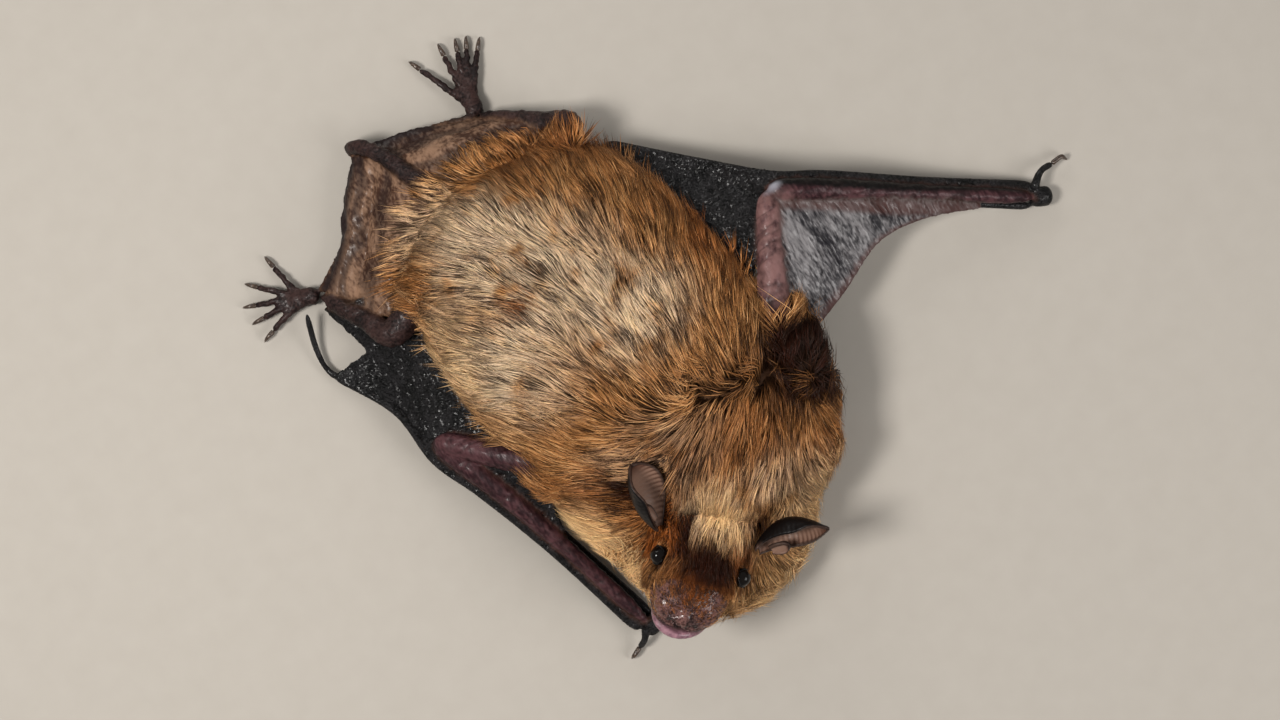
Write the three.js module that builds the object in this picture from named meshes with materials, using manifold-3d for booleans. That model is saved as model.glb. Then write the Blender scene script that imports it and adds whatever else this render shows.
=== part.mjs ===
// A big brown bat at rest on a flat surface, life size, in millimetres, +Z up.
// The head points towards -Y and is turned to the bat's right. The left wing is held out
// towards +X with its fingers folded along the forearm, and the right wing lies folded
// along the flank with its long finger reaching back over the foot.
// The solids are the outside of the living animal, with the fur counted in. Each body part
// is a piece of its own, and neighbours are parted by a thin gap.

import * as THREE from "three";
import { mergeVertices } from "three/addons/utils/BufferGeometryUtils.js";
import Module from "manifold-3d";

const wasm = await Module();
wasm.setup();
const { Manifold, Mesh: SolidMesh } = wasm;

// ---------------------------------------------------------------- driving sizes

const GAP = 0.3; // between touching pieces
const SPECK = 0.03; // corners nearer to each other than this become one
const BODY_HEIGHT = 25; // floor to the top of the back
const SHEET = 0.8; // thickness of skin that is stretched between limbs
const FINGER = 0.65; // radius of a folded finger in its skin
const TOE = 0.55; // radius of a toe
const CLAW = 0.42; // radius of a claw at its root
const EYE = 1.15; // radius of the eyeball
const EAR_SHEET = 0.7; // thickness of the ears
const MUZZLE_ASIDE = 0.008; // how far the muzzle bends to the bat's right, for each square millimetre
const LOWEST = 0; // the surface that the bat rests on

const at = (x, y, z) => new THREE.Vector3(x, y, z);

// Joints of the skeleton, where the skin over them has its centre.
const JOINTS = {
  left: {
    shoulder: at(17, -12, 14),
    elbow: at(30, 11.3, 15),
    wrist: at(65.5, -11.6, 3.2),
    hip: at(0, 31, 11),
    knee: at(10.2, 36.2, 9.5),
    ankle: at(-0.6, 45.6, 3.2),
  },
  right: {
    shoulder: at(-14, -12, 13),
    elbow: at(-33.6, 6.6, 8),
    wrist: at(-21, -35, 3.2),
    hip: at(-16, 29, 11),
    knee: at(-30, 24, 9),
    ankle: at(-36.6, 35.2, 3.2),
  },
};
const TAIL_ROOT = at(-12, 37, 11);
const TAIL_BEND = at(-17.2, 49, 7.6);
const TAIL_TIP = at(-20.4, 52, 3.6);

// The head's own frame: x forwards, y to the bat's left, z up, from midway between the eyes.
const HEAD = {
  origin: at(-8.9, -30.6, 20),
  turn: THREE.MathUtils.degToRad(-135.5),
  lift: THREE.MathUtils.degToRad(25),
  lean: THREE.MathUtils.degToRad(-10),
};

// ---------------------------------------------------------------- solid shapes

/** A closed geometry as a manifold-3d solid, with its faces turned out. */
function solidFrom(geometry) {
  geometry.deleteAttribute("normal");
  geometry.deleteAttribute("uv");
  const merged = mergeVertices(geometry, 1e-4);
  const vertProperties = Float32Array.from(merged.attributes.position.array);
  const triVerts = Uint32Array.from(merged.index.array);
  const solid = new Manifold(new SolidMesh({ numProp: 3, vertProperties, triVerts }));
  if (solid.volume() >= 0) return solid;
  for (let i = 0; i < triVerts.length; i += 3) {
    [triVerts[i], triVerts[i + 1]] = [triVerts[i + 1], triVerts[i]];
  }
  return new Manifold(new SolidMesh({ numProp: 3, vertProperties, triVerts }));
}

/** Value at t (0 to 1) of a smooth curve through evenly spaced values. */
function smooth(values, t) {
  const last = values.length - 1;
  const i = Math.min(Math.floor(t * last), last - 1);
  const f = t * last - i;
  const [a, b, c, d] = [i - 1, i, i + 1, i + 2].map((k) => values[THREE.MathUtils.clamp(k, 0, last)]);
  return b + 0.5 * f * (c - a + f * (2 * a - 5 * b + 4 * c - d + f * (3 * (b - c) + d - a)));
}

/**
 * A rounded body along a smooth line: the rings of a sphere are laid along it, and each is
 * stretched to its own half-width, rise and drop. `round` is the share of the line that each
 * end takes to close, and `floor` cuts it off flat at the surface that the bat rests on.
 */
function loft(stations, { around = 8, along = 10, round = 0.12, floor = true, grow = 0 } = {}) {
  const line = new THREE.CatmullRomCurve3(stations.map((s) => s.at), false, "centripetal");
  const sizes = ["wide", "up", "down"].map((k) => stations.map((s) => s[k] ?? s.r));
  const geometry = new THREE.SphereGeometry(1, around, along);
  const position = geometry.attributes.position;
  const end = (d) => (d < round ? Math.sqrt(Math.max(0, 1 - (1 - d / round) ** 2)) : 1);
  for (let i = 0; i < position.count; i++) {
    const [x, y, z] = [position.getX(i), position.getY(i), position.getZ(i)];
    const ring = Math.hypot(x, z);
    const t = THREE.MathUtils.clamp((1 - y) / 2, 0, 1);
    const forwards = line.getTangent(t).normalize();
    const side = new THREE.Vector3(0, 0, 1).cross(forwards).normalize();
    const up = forwards.clone().cross(side);
    const close = ring < 1e-6 ? 0 : end(t) * end(1 - t);
    const [wide, rise, drop] = sizes.map((values) => smooth(values, t) * close + (close > 0 ? grow : 0));
    const across = ring < 1e-6 ? 0 : x / ring;
    const upright = ring < 1e-6 ? 0 : z / ring;
    const p = line.getPoint(t)
      .addScaledVector(side, across * wide)
      .addScaledVector(up, upright * (upright > 0 ? rise : drop))
      .addScaledVector(forwards, ring < 1e-6 ? -Math.sign(y) * grow : 0);
    position.setXYZ(i, p.x, p.y, floor ? Math.max(p.z, LOWEST - (grow ? 1 : 0)) : p.z);
  }
  return solidFrom(geometry);
}

/** A round limb through points, each with its radius. */
const limb = (points, radii, options) => loft(points.map((p, i) => ({ at: p, r: radii[i] })), options);

/**
 * A bent sheet of skin: a thin box whose middle follows place(u, v), u and v from 0 to 1,
 * with thick(u, v) across it.
 */
function sheet(place, { u: nu = 10, v: nv = 5, thick = () => SHEET, grow = 0 } = {}) {
  const geometry = new THREE.BoxGeometry(1, 1, 1, nu, nv, 1);
  const position = geometry.attributes.position;
  const step = 0.01;
  for (let i = 0; i < position.count; i++) {
    const spread = (s) => s * (1 + grow * 0.06) - grow * 0.03;
    const u = spread(position.getX(i) + 0.5);
    const v = spread(position.getY(i) + 0.5);
    const alongU = place(u + step, v).sub(place(u - step, v));
    const alongV = place(u, v + step).sub(place(u, v - step));
    const normal = alongU.cross(alongV).normalize();
    const p = place(u, v).addScaledVector(normal, position.getZ(i) * (thick(u, v) + 2 * grow));
    position.setXYZ(i, p.x, p.y, Math.max(p.z, LOWEST + 0.1));
  }
  return solidFrom(geometry);
}

/** A sheet's middle stretched between four curves: bottom and top run along u, left and right along v. */
function patch(bottom, top, left, right) {
  const corner = [left.getPoint(0), right.getPoint(0), left.getPoint(1), right.getPoint(1)];
  const clamp = (s) => THREE.MathUtils.clamp(s, 0, 1);
  return (u, v) => {
    const [cu, cv] = [clamp(u), clamp(v)];
    const p = bottom.getPoint(cu).multiplyScalar(1 - v).addScaledVector(top.getPoint(cu), v);
    p.addScaledVector(left.getPoint(cv), 1 - u).addScaledVector(right.getPoint(cv), u);
    p.addScaledVector(corner[0], -(1 - u) * (1 - v)).addScaledVector(corner[1], -u * (1 - v));
    return p.addScaledVector(corner[2], -(1 - u) * v).addScaledVector(corner[3], -u * v);
  };
}

const curve = (...points) => new THREE.CatmullRomCurve3(points, false, "centripetal");
const mix = (a, b, t) => a.clone().lerp(b, t);

// ---------------------------------------------------------------- the bat's shapes

// Every shape is a function of `grow`, so that a neighbour can be cut back from it by the gap.
const shapes = {};

// Trunk and breast, from the rump to the throat. The belly is flat where it lies on the surface.
const BACK = BODY_HEIGHT / 2;
const PRESS = 1.5; // how far the soft belly is pressed flat
const trunkRing = (x, y, z, wide, up) => ({ at: at(x, y, z), wide, up, down: z + PRESS });
const trunkLine = [
  trunkRing(-8.5, 40.5, 0.64 * BACK, 13, 0.5 * BACK),
  trunkRing(-7.5, 32, 0.8 * BACK, 18.5, 0.76 * BACK),
  trunkRing(-5, 19.5, 0.88 * BACK, 21.8, 0.98 * BACK),
  trunkRing(-2.2, 5, 0.92 * BACK, 23.2, 1.08 * BACK),
  trunkRing(-0.2, -8, 0.94 * BACK, 22.9, 1.06 * BACK),
  trunkRing(0, -18, 0.9 * BACK, 22.6, 0.96 * BACK),
  trunkRing(-1, -26, 0.82 * BACK, 20, 0.72 * BACK),
  trunkRing(-0.4, -32.5, 0.62 * BACK, 16.8, 0.46 * BACK),
  trunkRing(3, -41.5, 0.48 * BACK, 14, 0.36 * BACK),
];
const SHOULDER_LINE = -11; // where the coat of the neck meets that of the back
const wholeTrunk = (grow = 0) => loft(trunkLine, { around: 20, along: 16, round: 0.13, grow });
const nape = (grow = 0) =>
  loft(
    [
      { at: at(-6, -28, 16), wide: 12, up: 8.5, down: 17 },
      { at: at(-1, -19, 14.5), wide: 16.5, up: 11, down: 16 },
      { at: at(1, -8, 13), wide: 19, up: 12.4, down: 14 },
    ],
    { around: 14, along: 8, round: 0.3, grow },
  );
shapes.trunk = (grow) => wholeTrunk(grow).trimByPlane([0, 1, 0], SHOULDER_LINE + GAP / 2 - grow);
shapes.neck = (grow) =>
  wholeTrunk(grow).add(nape(grow)).trimByPlane([0, -1, 0], -(SHOULDER_LINE - GAP / 2) - grow);

// Head, in its own frame: furred skull, bare broad muzzle, and the lower jaw below the mouth's line.
const headPlace = new THREE.Matrix4()
  .makeRotationFromEuler(new THREE.Euler(HEAD.lean, -HEAD.lift, HEAD.turn, "ZYX"))
  .setPosition(HEAD.origin);
const inHead = (solid) => solid.transform(headPlace.toArray());
const headRing = (x, z, wide, up, down) => {
  const aside = -MUZZLE_ASIDE * Math.max(x, 0) ** 2;
  return { at: at(x, aside, z), wide, up, down };
};
const skullLine = [
  headRing(-13.5, -1.5, 6.5, 5.5, 6),
  headRing(-9, -1, 9.6, 7.2, 8),
  headRing(-4.5, -0.6, 9, 6.4, 7.6),
  headRing(0, -0.4, 7, 4.6, 5.6),
  headRing(4, -0.6, 6.3, 3.7, 4),
  headRing(7, -1, 5.5, 3.2, 2.9),
  headRing(10, -1.4, 3.9, 2.2, 2),
];
const jawLine = [
  headRing(-3, -4.6, 4, 1.4, 3),
  headRing(3, -4.9, 4.8, 1.4, 2.2),
  headRing(7.5, -4.9, 4.4, 1.3, 1.5),
  headRing(10.4, -4.6, 3, 1, 0.9),
];
shapes.head = (grow) =>
  inHead(loft(skullLine, { around: 16, along: 13, round: 0.16, floor: false, grow }));
shapes.lower_jaw = (grow) =>
  inHead(loft(jawLine, { around: 12, along: 8, round: 0.2, floor: false, grow }));

// What comes in pairs is made for each side. `out` is +1 on the bat's left and -1 on its right.
const SIDES = { left: 1, right: -1 };
const EYE_PLACE = at(0.6, 6.3, 0.4);

// Each ear is a leaf with its back rim rolled over, and a smaller leaf, the tragus, stands in it.
// `back` and `front` are the width and the bend, in radians, of the leaf's two halves.
const EARS = {
  left: {
    opening: at(-0.38, -0.6, 0.71),
    ear: {
      foot: at(-0.2, -33.2, 18), axis: at(10.3, -2.9, 4.6), back: [5.4, 2.2], front: [4.2, 1.45],
      bow: 3.3, narrow: 0.3, belly: 0.5, peak: 0.85,
    },
    tragus: {
      foot: at(1.2, -34.6, 19.2), axis: at(2.9, -0.9, 1.2), back: [1.7, 1], front: [1.9, 0.8],
      bow: 0.2, narrow: 0.6, belly: 0.6, peak: 1,
    },
  },
  right: {
    opening: at(0.56, -0.13, 0.82),
    ear: {
      foot: at(-11.4, -22.4, 20.1), axis: at(2, 10, 5.2), back: [5.6, 2.1], front: [4.7, 1.1],
      bow: 1.2, narrow: 0.3, belly: 0.6, peak: 0.9,
    },
    tragus: {
      foot: at(-11, -21.3, 21.3), axis: at(-0.3, 2.6, 1.8), back: [1, 1], front: [1.1, 0.8],
      bow: 0.2, narrow: 0.6, belly: 0.6, peak: 1,
    },
  },
};

/** A leaf that grows from its foot along its axis, hollow towards its opening, with an arched spine. */
function leaf(opening, { foot, axis, back, front, bow, narrow, belly, peak }) {
  const along = axis.clone().normalize();
  const across = along.clone().cross(opening).normalize();
  const hollow = across.clone().cross(along).normalize();
  return (u, v) => {
    const rise = THREE.MathUtils.clamp(v, 0, 1);
    const turn = 2 * u - 1;
    const [width, bend] = turn < 0 ? back : front;
    const swell = narrow + (1 - narrow) * Math.sin(Math.PI * Math.min(1, rise / (2 * belly)));
    const half = width * swell * Math.sqrt(1 - rise ** 5) + 0.25;
    const curl = bend * (1 - 0.7 * THREE.MathUtils.smoothstep(rise, 0.55, 1));
    const radius = half / curl;
    const arch = bow * Math.sin(Math.PI * rise ** peak);
    return foot.clone()
      .addScaledVector(axis, v)
      .addScaledVector(across, radius * Math.sin(turn * curl))
      .addScaledVector(hollow, radius * (1 - Math.cos(turn * curl)) - arch);
  };
}

for (const [side, out] of Object.entries(SIDES)) {
  const sided = (v) => v.clone().multiply(at(1, out, 1));
  const { opening, ear, tragus } = EARS[side];
  const thick = () => EAR_SHEET;
  shapes[`${side}_eye`] = (grow) => {
    const ball = new THREE.SphereGeometry(EYE + grow, 10, 7);
    return inHead(solidFrom(ball.translate(...sided(EYE_PLACE).toArray())));
  };
  shapes[`${side}_ear`] = (grow) => sheet(leaf(opening, ear), { u: 9, v: 7, thick, grow });
  shapes[`${side}_tragus`] = (grow) => sheet(leaf(opening, tragus), { u: 4, v: 4, thick, grow });
}

// Arms. The fingers are folded back along the forearm, one beside the other, in their own skin.
const rod = (grow, points, radii, along, round = 0.08) =>
  limb(points, radii, { around: 8, along, grow, round });
const raised = (p, x, y, z) => p.clone().add(at(x, y, z));

const forearms = {
  left: [JOINTS.left.elbow, at(37.4, 7, 13.4), at(51.4, -2.2, 8), JOINTS.left.wrist],
  right: [JOINTS.right.elbow, at(-29.6, -3.6, 7.8), at(-25.4, -18, 5.6), JOINTS.right.wrist],
};
for (const [side, { shoulder, elbow }] of Object.entries(JOINTS)) {
  shapes[`${side}_upper_arm`] = (grow) =>
    rod(grow, [shoulder, raised(mix(shoulder, elbow, 0.5), 0, 0, 0.8), elbow], [3.6, 2.6, 1.9], 7);
  shapes[`${side}_forearm`] = (grow) => rod(grow, forearms[side], [1.9, 1.9, 1.35, 1.25], 9);
}

/** A point beside the forearm: share of the way from wrist to elbow, how far outwards and how far up. */
function besideArm(side, share, outwards, up) {
  const line = curve(...forearms[side]);
  const across = at(0, 0, SIDES[side]).cross(line.getTangent(1 - share).setZ(0)).normalize();
  return raised(line.getPoint(1 - share).addScaledVector(across, outwards), 0, 0, up);
}

const wrists = {
  left: [at(65.2, -11.4, 2.4), at(68.4, -12.9, 1.8)],
  right: [at(-21.1, -34.6, 2.6), at(-20.2, -37.4, 1.8)],
};
const thumbs = {
  left: [at(66.2, -10.6, 3.2), at(68.6, -8.8, 3), at(71, -8.7, 1.7)],
  right: [at(-21.6, -35.6, 3.6), at(-22.8, -37.2, 3), at(-24.2, -38, 1.4)],
};
const thumbClaws = {
  left: [at(71, -8.7, 1.7), at(72.9, -8.6, 1.6), at(73.6, -9.5, 0.5)],
  right: [at(-24.2, -38, 1.4), at(-25.6, -38.6, 1.3), at(-26.3, -38.9, 0.45)],
};
// Where each long finger lies beside the forearm, and where it goes past the elbow.
const FOLD = { finger_3: [2.05, -1.2], finger_4: [0.6, -2.5], finger_5: [-1.2, -2.2] };
const pastElbow = {
  left: {
    finger_3: [at(24.2, 20.8, 9.4), at(13.8, 31.2, 6.2)],
    finger_4: [at(27, 15.4, 9.6)],
    finger_5: [at(26.4, 12, 10.4)],
  },
  right: {
    finger_3: [at(-36.4, 13.4, 3.8), at(-41.8, 23.6, 1.6)],
    finger_4: [at(-34.8, 13, 2)],
    finger_5: [at(-32.6, 11, 2.2)],
  },
};
function fingerPath(side, finger) {
  const [outwards, up] = FOLD[finger];
  const beside = [0, 0.35, 0.68, 0.94].map((share, i) => {
    const spread = i < 2 ? 1 : 1.25;
    return besideArm(side, share, outwards * spread, up * spread);
  });
  return [...beside, ...pastElbow[side][finger]];
}
for (const side of Object.keys(SIDES)) {
  const hand = wrists[side].map((p) => ({ at: p, wide: 1.7, up: 1.5, down: p.z + 0.2 }));
  shapes[`${side}_wrist`] = (grow) => loft(hand, { around: 8, along: 6, round: 0.3, grow });
  shapes[`${side}_thumb`] = (grow) => rod(grow, thumbs[side], [0.75, 0.6, 0.6], 6);
  shapes[`${side}_thumb_claw`] = (grow) => rod(grow, thumbClaws[side], [CLAW, 0.34, 0.18], 5);
  for (const finger of Object.keys(FOLD)) {
    const path = fingerPath(side, finger);
    shapes[`${side}_${finger}`] = (grow) => rod(grow, path, path.map(() => FINGER), 9, 0.03);
  }
}

const bentTip = [at(-42.3, 24.6, 1.6), at(-41.8, 28.8, 2.2), at(-39.9, 34, 4.7), at(-39.2, 37.6, 4.9)];
shapes.right_finger_3_tip = (grow) => rod(grow, bentTip, bentTip.map(() => FINGER), 6);

// Wing skin. The flank skin is bunched into a thick crumpled band between knee and elbow.
shapes.left_arm_skin = (grow) =>
  sheet(
    patch(
      curve(at(30.4, 10.6, 14.6), at(42, 3.6, 11.4), at(57, -6.4, 6)),
      curve(
        at(22.5, -11.8, 12.6), at(31.6, -8.2, 10.6), at(41, -4.4, 9),
        at(49, -5.2, 7), at(57.6, -8.6, 4.8),
      ),
      curve(at(30.4, 10.6, 14.6), at(27, 0, 14), at(22.5, -11.8, 12.6)),
      curve(at(57, -6.4, 6), at(57.6, -8.6, 4.8)),
    ),
    { u: 10, v: 4, grow },
  );
shapes.right_arm_skin = (grow) =>
  sheet(
    patch(
      curve(at(-32.6, 4.4, 8.6), at(-29.4, -6, 7), at(-25.6, -18, 5)),
      curve(at(-25.5, 3.4, 10.6), at(-22.4, -5, 10.2), at(-23, -11, 7.6), at(-24.6, -18.6, 4.8)),
      curve(at(-32.6, 4.4, 8.6), at(-25.5, 3.4, 10.6)),
      curve(at(-25.6, -18, 5), at(-24.6, -18.6, 4.8)),
    ),
    { u: 7, v: 3, grow, thick: () => 1.1 },
  );
const bunched = (place, rise) => (u, v) => {
  const s = THREE.MathUtils.clamp(v, 0, 1);
  return place(u, v).add(at(0, 0, rise * Math.sin(Math.PI * s)));
};
shapes.left_flank_skin = (grow) =>
  sheet(
    bunched(
      patch(
        curve(at(7, 31, 7), at(13.5, 19, 8.6), at(17.5, 6, 11), at(21, -1, 12.4)),
        curve(at(12.4, 31.4, 5.6), at(22.8, 20, 8.4), at(31.4, 11.8, 11.8)),
        curve(at(7, 31, 7), at(12.4, 31.4, 5.6)),
        curve(at(21, -1, 12.4), at(27, 6.6, 13), at(31.4, 11.8, 11.8)),
      ),
      0.6,
    ),
    { u: 8, v: 3, grow, thick: () => 2 },
  );
shapes.right_flank_skin = (grow) =>
  sheet(
    bunched(
      patch(
        curve(at(-31.6, 30.6, 6), at(-24.5, 22.4, 8), at(-24, 14, 9), at(-23.6, 4, 9.6)),
        curve(at(-37, 33.4, 2.4), at(-34.8, 23, 2.4), at(-35.2, 15, 2.4), at(-35.4, 8.4, 4)),
        curve(at(-31.6, 30.6, 6), at(-37, 33.4, 2.4)),
        curve(at(-23.6, 4, 9.6), at(-35.4, 8.4, 4)),
      ),
      1.4,
    ),
    { u: 9, v: 3, grow, thick: () => 2.4 },
  );

// Legs, feet and toes. Each toe runs from its root in the foot to where its claw begins.
for (const [side, { hip, knee, ankle }] of Object.entries(JOINTS)) {
  const bone = (points, radii, grow) => limb(points, radii, { around: 8, along: 6, round: 0.2, grow });
  const calf = mix(knee, ankle, 0.4);
  shapes[`${side}_leg`] = (grow) =>
    bone([hip, mix(hip, knee, 0.6), knee], [3.4, 2.8, 2.3], grow)
      .add(bone([knee, calf, ankle], [2.2, 1.8, 1.4], grow));
}
const feet = {
  left: {
    sole: [at(-0.7, 45.9, 2.8), at(-0.6, 48.6, 2.2), at(0.2, 51.8, 1.5)],
    heel: at(-8.4, 48.2, 3.4),
  },
  right: {
    sole: [at(-36.8, 35.6, 2.8), at(-39.5, 36.6, 2.2), at(-42.2, 37.2, 1.5)],
    heel: at(-31.2, 38.8, 2.6),
  },
};
const toes = {
  left: [
    [at(-1.6, 49.4), at(-4.7, 57.2)], [at(-0.8, 51.4), at(-0.3, 57)], [at(0.2, 51.8), at(1.9, 56.4)],
    [at(0.9, 51.6), at(3.3, 55.9)], [at(1.6, 51), at(4.7, 54.8)],
  ],
  right: [
    [at(-39.8, 38), at(-40.7, 43.4)], [at(-41, 38.2), at(-44.6, 42)], [at(-42, 37.9), at(-46.4, 39.7)],
    [at(-42.4, 37), at(-46.4, 37.3)], [at(-41.9, 36), at(-46.3, 34.7)],
  ],
};
const TOE_ARCH = 2.3; // height of the middle of a toe
for (const side of Object.keys(SIDES)) {
  const { sole, heel } = feet[side];
  const toeLine = ([from, to]) => [
    raised(mix(from, to, -0.35), 0, 0, 1.6),
    raised(from, 0, 0, 1.9),
    raised(mix(from, to, 0.55), 0, 0, TOE_ARCH - 0.5),
    raised(to, 0, 0, 1),
  ];
  shapes[`${side}_foot`] = (grow) => {
    const palm = loft(
      sole.map((p, i) => ({ at: p, wide: [1.5, 1.7, 2.3][i], up: [1.3, 1.2, 0.9][i], down: p.z + 0.3 })),
      { around: 8, along: 6, round: 0.2, grow },
    );
    const toeShape = (toe) => limb(toeLine(toe), [0.8, 0.7, TOE, TOE], { around: 5, along: 4, grow });
    return toes[side].reduce((made, toe) => made.add(toeShape(toe)), palm);
  };
  toes[side].forEach((toe, i) => {
    const [, root, , tip] = toeLine(toe);
    const away = tip.clone().sub(root).setZ(0).normalize();
    const claw = (ahead, height) => tip.clone().addScaledVector(away, ahead).setZ(height);
    const line = [tip, claw(1.2, 1.2), claw(2, 0.3)];
    shapes[`${side}_toe_claw_${i + 1}`] = (grow) =>
      limb(line, [CLAW, 0.36, 0.16], { around: 5, along: 4, grow });
  });
  shapes[`${side}_calcar`] = (grow) => rod(grow, [raised(sole[0], 0, 0.4, -0.4), heel], [0.6, 0.45], 4);
}

// Tail and the skin between the tail and the legs, gathered in long soft folds.
const tailLine = [
  TAIL_ROOT,
  mix(TAIL_ROOT, TAIL_BEND, 0.5),
  TAIL_BEND,
  at(-19.2, 51.4, 5.8),
  TAIL_TIP,
  at(-20, 50.6, 1.8),
];
shapes.tail = (grow) => limb(tailLine, [2, 1.6, 1.35, 1.25, 1.05, 0.8], { around: 8, along: 11, grow });
const folded = (place, rises) => (u, v) => {
  const [cu, cv] = [u, v].map((s) => THREE.MathUtils.clamp(s, 0, 1));
  return place(u, v).add(at(0, 0, rises * Math.sin(3 * Math.PI * cv) * Math.sin(Math.PI * cu)));
};
shapes.left_tail_skin = (grow) =>
  sheet(
    folded(
      patch(
        curve(at(-12.6, 38, 9), at(-4, 38, 10.4), at(7, 36.5, 9)),
        curve(at(-19.6, 51.2, 3.8), at(-12, 49.4, 4), at(-5.6, 47.4, 3), at(-1.6, 45.6, 2.8)),
        curve(at(-12.6, 38, 9), at(-17, 47.6, 6.6), at(-19.6, 51.2, 3.8)),
        curve(at(7, 36.5, 9), at(3.4, 41.6, 5.8), at(-1.6, 45.6, 2.8)),
      ),
      0.9,
    ),
    { u: 5, v: 6, grow },
  );
shapes.right_tail_skin = (grow) =>
  sheet(
    folded(
      patch(
        curve(at(-13.4, 38, 9), at(-21, 33, 10), at(-27.6, 26.6, 8.8)),
        curve(at(-20.4, 50.8, 3), at(-25.8, 45.6, 2.2), at(-29.2, 40.4, 2), at(-34.6, 36.2, 2.6)),
        curve(at(-13.4, 38, 9), at(-17.4, 47, 6.6), at(-20.4, 50.8, 3)),
        curve(at(-27.6, 26.6, 8.8), at(-31.6, 31.4, 5.8), at(-34.6, 36.2, 2.6)),
      ),
      1.3,
    ),
    { u: 5, v: 6, grow },
  );

// ---------------------------------------------------------------- fitting the pieces together

const grown = new Map();
const grownShape = (name) => grown.get(name) ?? grown.set(name, shapes[name](GAP)).get(name);
const reach = (name) => {
  const { min, max } = grownShape(name).boundingBox();
  return new THREE.Box3(at(...min), at(...max));
};

const largest = (solid) =>
  solid.decompose().reduce((most, piece) => (piece.volume() > most.volume() ? piece : most));

/** The solid with the specks and hairline faces that cuts leave closed up. */
function cleaned(solid) {
  const mesh = solid.getMesh();
  const geometry = new THREE.BufferGeometry()
    .setAttribute("position", new THREE.BufferAttribute(Float32Array.from(mesh.vertProperties), 3))
    .setIndex(new THREE.BufferAttribute(Uint32Array.from(mesh.triVerts), 1));
  const merged = mergeVertices(geometry, SPECK);
  const faces = new Map();
  for (let i = 0; i < merged.index.count; i += 3) {
    const corners = [0, 1, 2].map((k) => merged.index.getX(i + k));
    const key = corners.toSorted((a, b) => a - b).join();
    if (new Set(corners).size < 3 || faces.delete(key)) continue;
    faces.set(key, corners);
  }
  const vertProperties = Float32Array.from(merged.attributes.position.array);
  const triVerts = Uint32Array.from([...faces.values()].flat());
  return largest(new Manifold(new SolidMesh({ numProp: 3, vertProperties, triVerts })));
}

/** What is left of a shape once its neighbours, grown by the gap, are cut away. */
function carved(name, neighbours) {
  const left = neighbours.reduce((solid, other) => solid.subtract(grownShape(other)), shapes[name](0));
  return cleaned(largest(left));
}

// Earlier pieces keep their shape, and later ones are cut back from those that they touch.
const order = [
  "left_eye", "right_eye", "head", "lower_jaw",
  "left_tragus", "right_tragus", "left_ear", "right_ear", "neck", "trunk",
  ...Object.keys(SIDES).flatMap((s) => [
    `${s}_forearm`, `${s}_upper_arm`, `${s}_wrist`, `${s}_thumb`, `${s}_thumb_claw`,
    ...Object.keys(FOLD).map((finger) => `${s}_${finger}`),
    `${s}_leg`, ...toes[s].map((_, i) => `${s}_toe_claw_${i + 1}`), `${s}_foot`, `${s}_calcar`,
  ]),
  "right_finger_3_tip", "tail", "left_tail_skin", "right_tail_skin",
  "left_arm_skin", "right_arm_skin", "left_flank_skin", "right_flank_skin",
];

const finishes = [
  [/eye/, 0x050404, 0.05],
  [/claw/, 0x1c1513, 0.4],
  [/^(trunk|neck|head)/, 0x8a5a2e, 0.9],
  [/jaw/, 0x8c5a62, 0.5],
  [/ear|tragus/, 0x2a1d1a, 0.6],
  [/tail/, 0x6b4a3c, 0.6],
  [/./, 0x1d1a1b, 0.6],
];

const bat = new THREE.Group();
order.forEach((name, i) => {
  const touched = order.slice(0, i).filter((other) => reach(other).intersectsBox(reach(name)));
  const made = carved(name, touched).getMesh();
  const geometry = new THREE.BufferGeometry()
    .setAttribute("position", new THREE.BufferAttribute(Float32Array.from(made.vertProperties), 3))
    .setIndex(new THREE.BufferAttribute(Uint32Array.from(made.triVerts), 1));
  const [, color, roughness] = finishes.find(([pattern]) => pattern.test(name));
  const mesh = new THREE.Mesh(geometry, new THREE.MeshStandardMaterial({ color, roughness, metalness: 0 }));
  mesh.name = name;
  bat.add(mesh);
});

// The part's origin is under the middle of the bat, on the surface that it rests on.
const extent = new THREE.Box3().setFromObject(bat);
const middle = extent.getCenter(new THREE.Vector3());
bat.position.set(-middle.x, -middle.y, -extent.min.z);

export default bat;
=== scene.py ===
"""A big brown bat at rest, life size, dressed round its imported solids.

One skin stands for all the solids of flesh. A coat of fine tufts grows from it, and the eyes and
claws are pieces of their own. Lengths are millimetres in the bat's own frame, in which the solids
were drawn, until a finished piece is settled into the frame of the part, in metres.
"""

import logging
import math
from collections.abc import Callable, Sequence
from dataclasses import dataclass, field
from enum import Enum

import bpy
import numpy as np
from mathutils import Matrix, Vector, kdtree


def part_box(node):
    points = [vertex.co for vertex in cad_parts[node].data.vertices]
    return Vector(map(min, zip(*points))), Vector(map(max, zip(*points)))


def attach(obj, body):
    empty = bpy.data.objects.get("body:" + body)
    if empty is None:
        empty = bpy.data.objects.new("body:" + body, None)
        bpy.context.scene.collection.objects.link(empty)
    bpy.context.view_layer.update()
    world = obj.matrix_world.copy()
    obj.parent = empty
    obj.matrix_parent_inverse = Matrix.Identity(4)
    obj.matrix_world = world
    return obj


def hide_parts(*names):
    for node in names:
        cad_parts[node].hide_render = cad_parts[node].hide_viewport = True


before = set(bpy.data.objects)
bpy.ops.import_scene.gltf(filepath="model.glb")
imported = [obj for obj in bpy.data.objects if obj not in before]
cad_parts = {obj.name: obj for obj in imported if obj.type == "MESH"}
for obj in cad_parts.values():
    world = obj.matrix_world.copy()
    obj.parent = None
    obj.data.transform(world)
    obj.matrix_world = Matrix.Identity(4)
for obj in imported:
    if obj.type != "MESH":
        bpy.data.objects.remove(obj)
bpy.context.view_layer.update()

log = logging.getLogger("bat")

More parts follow.
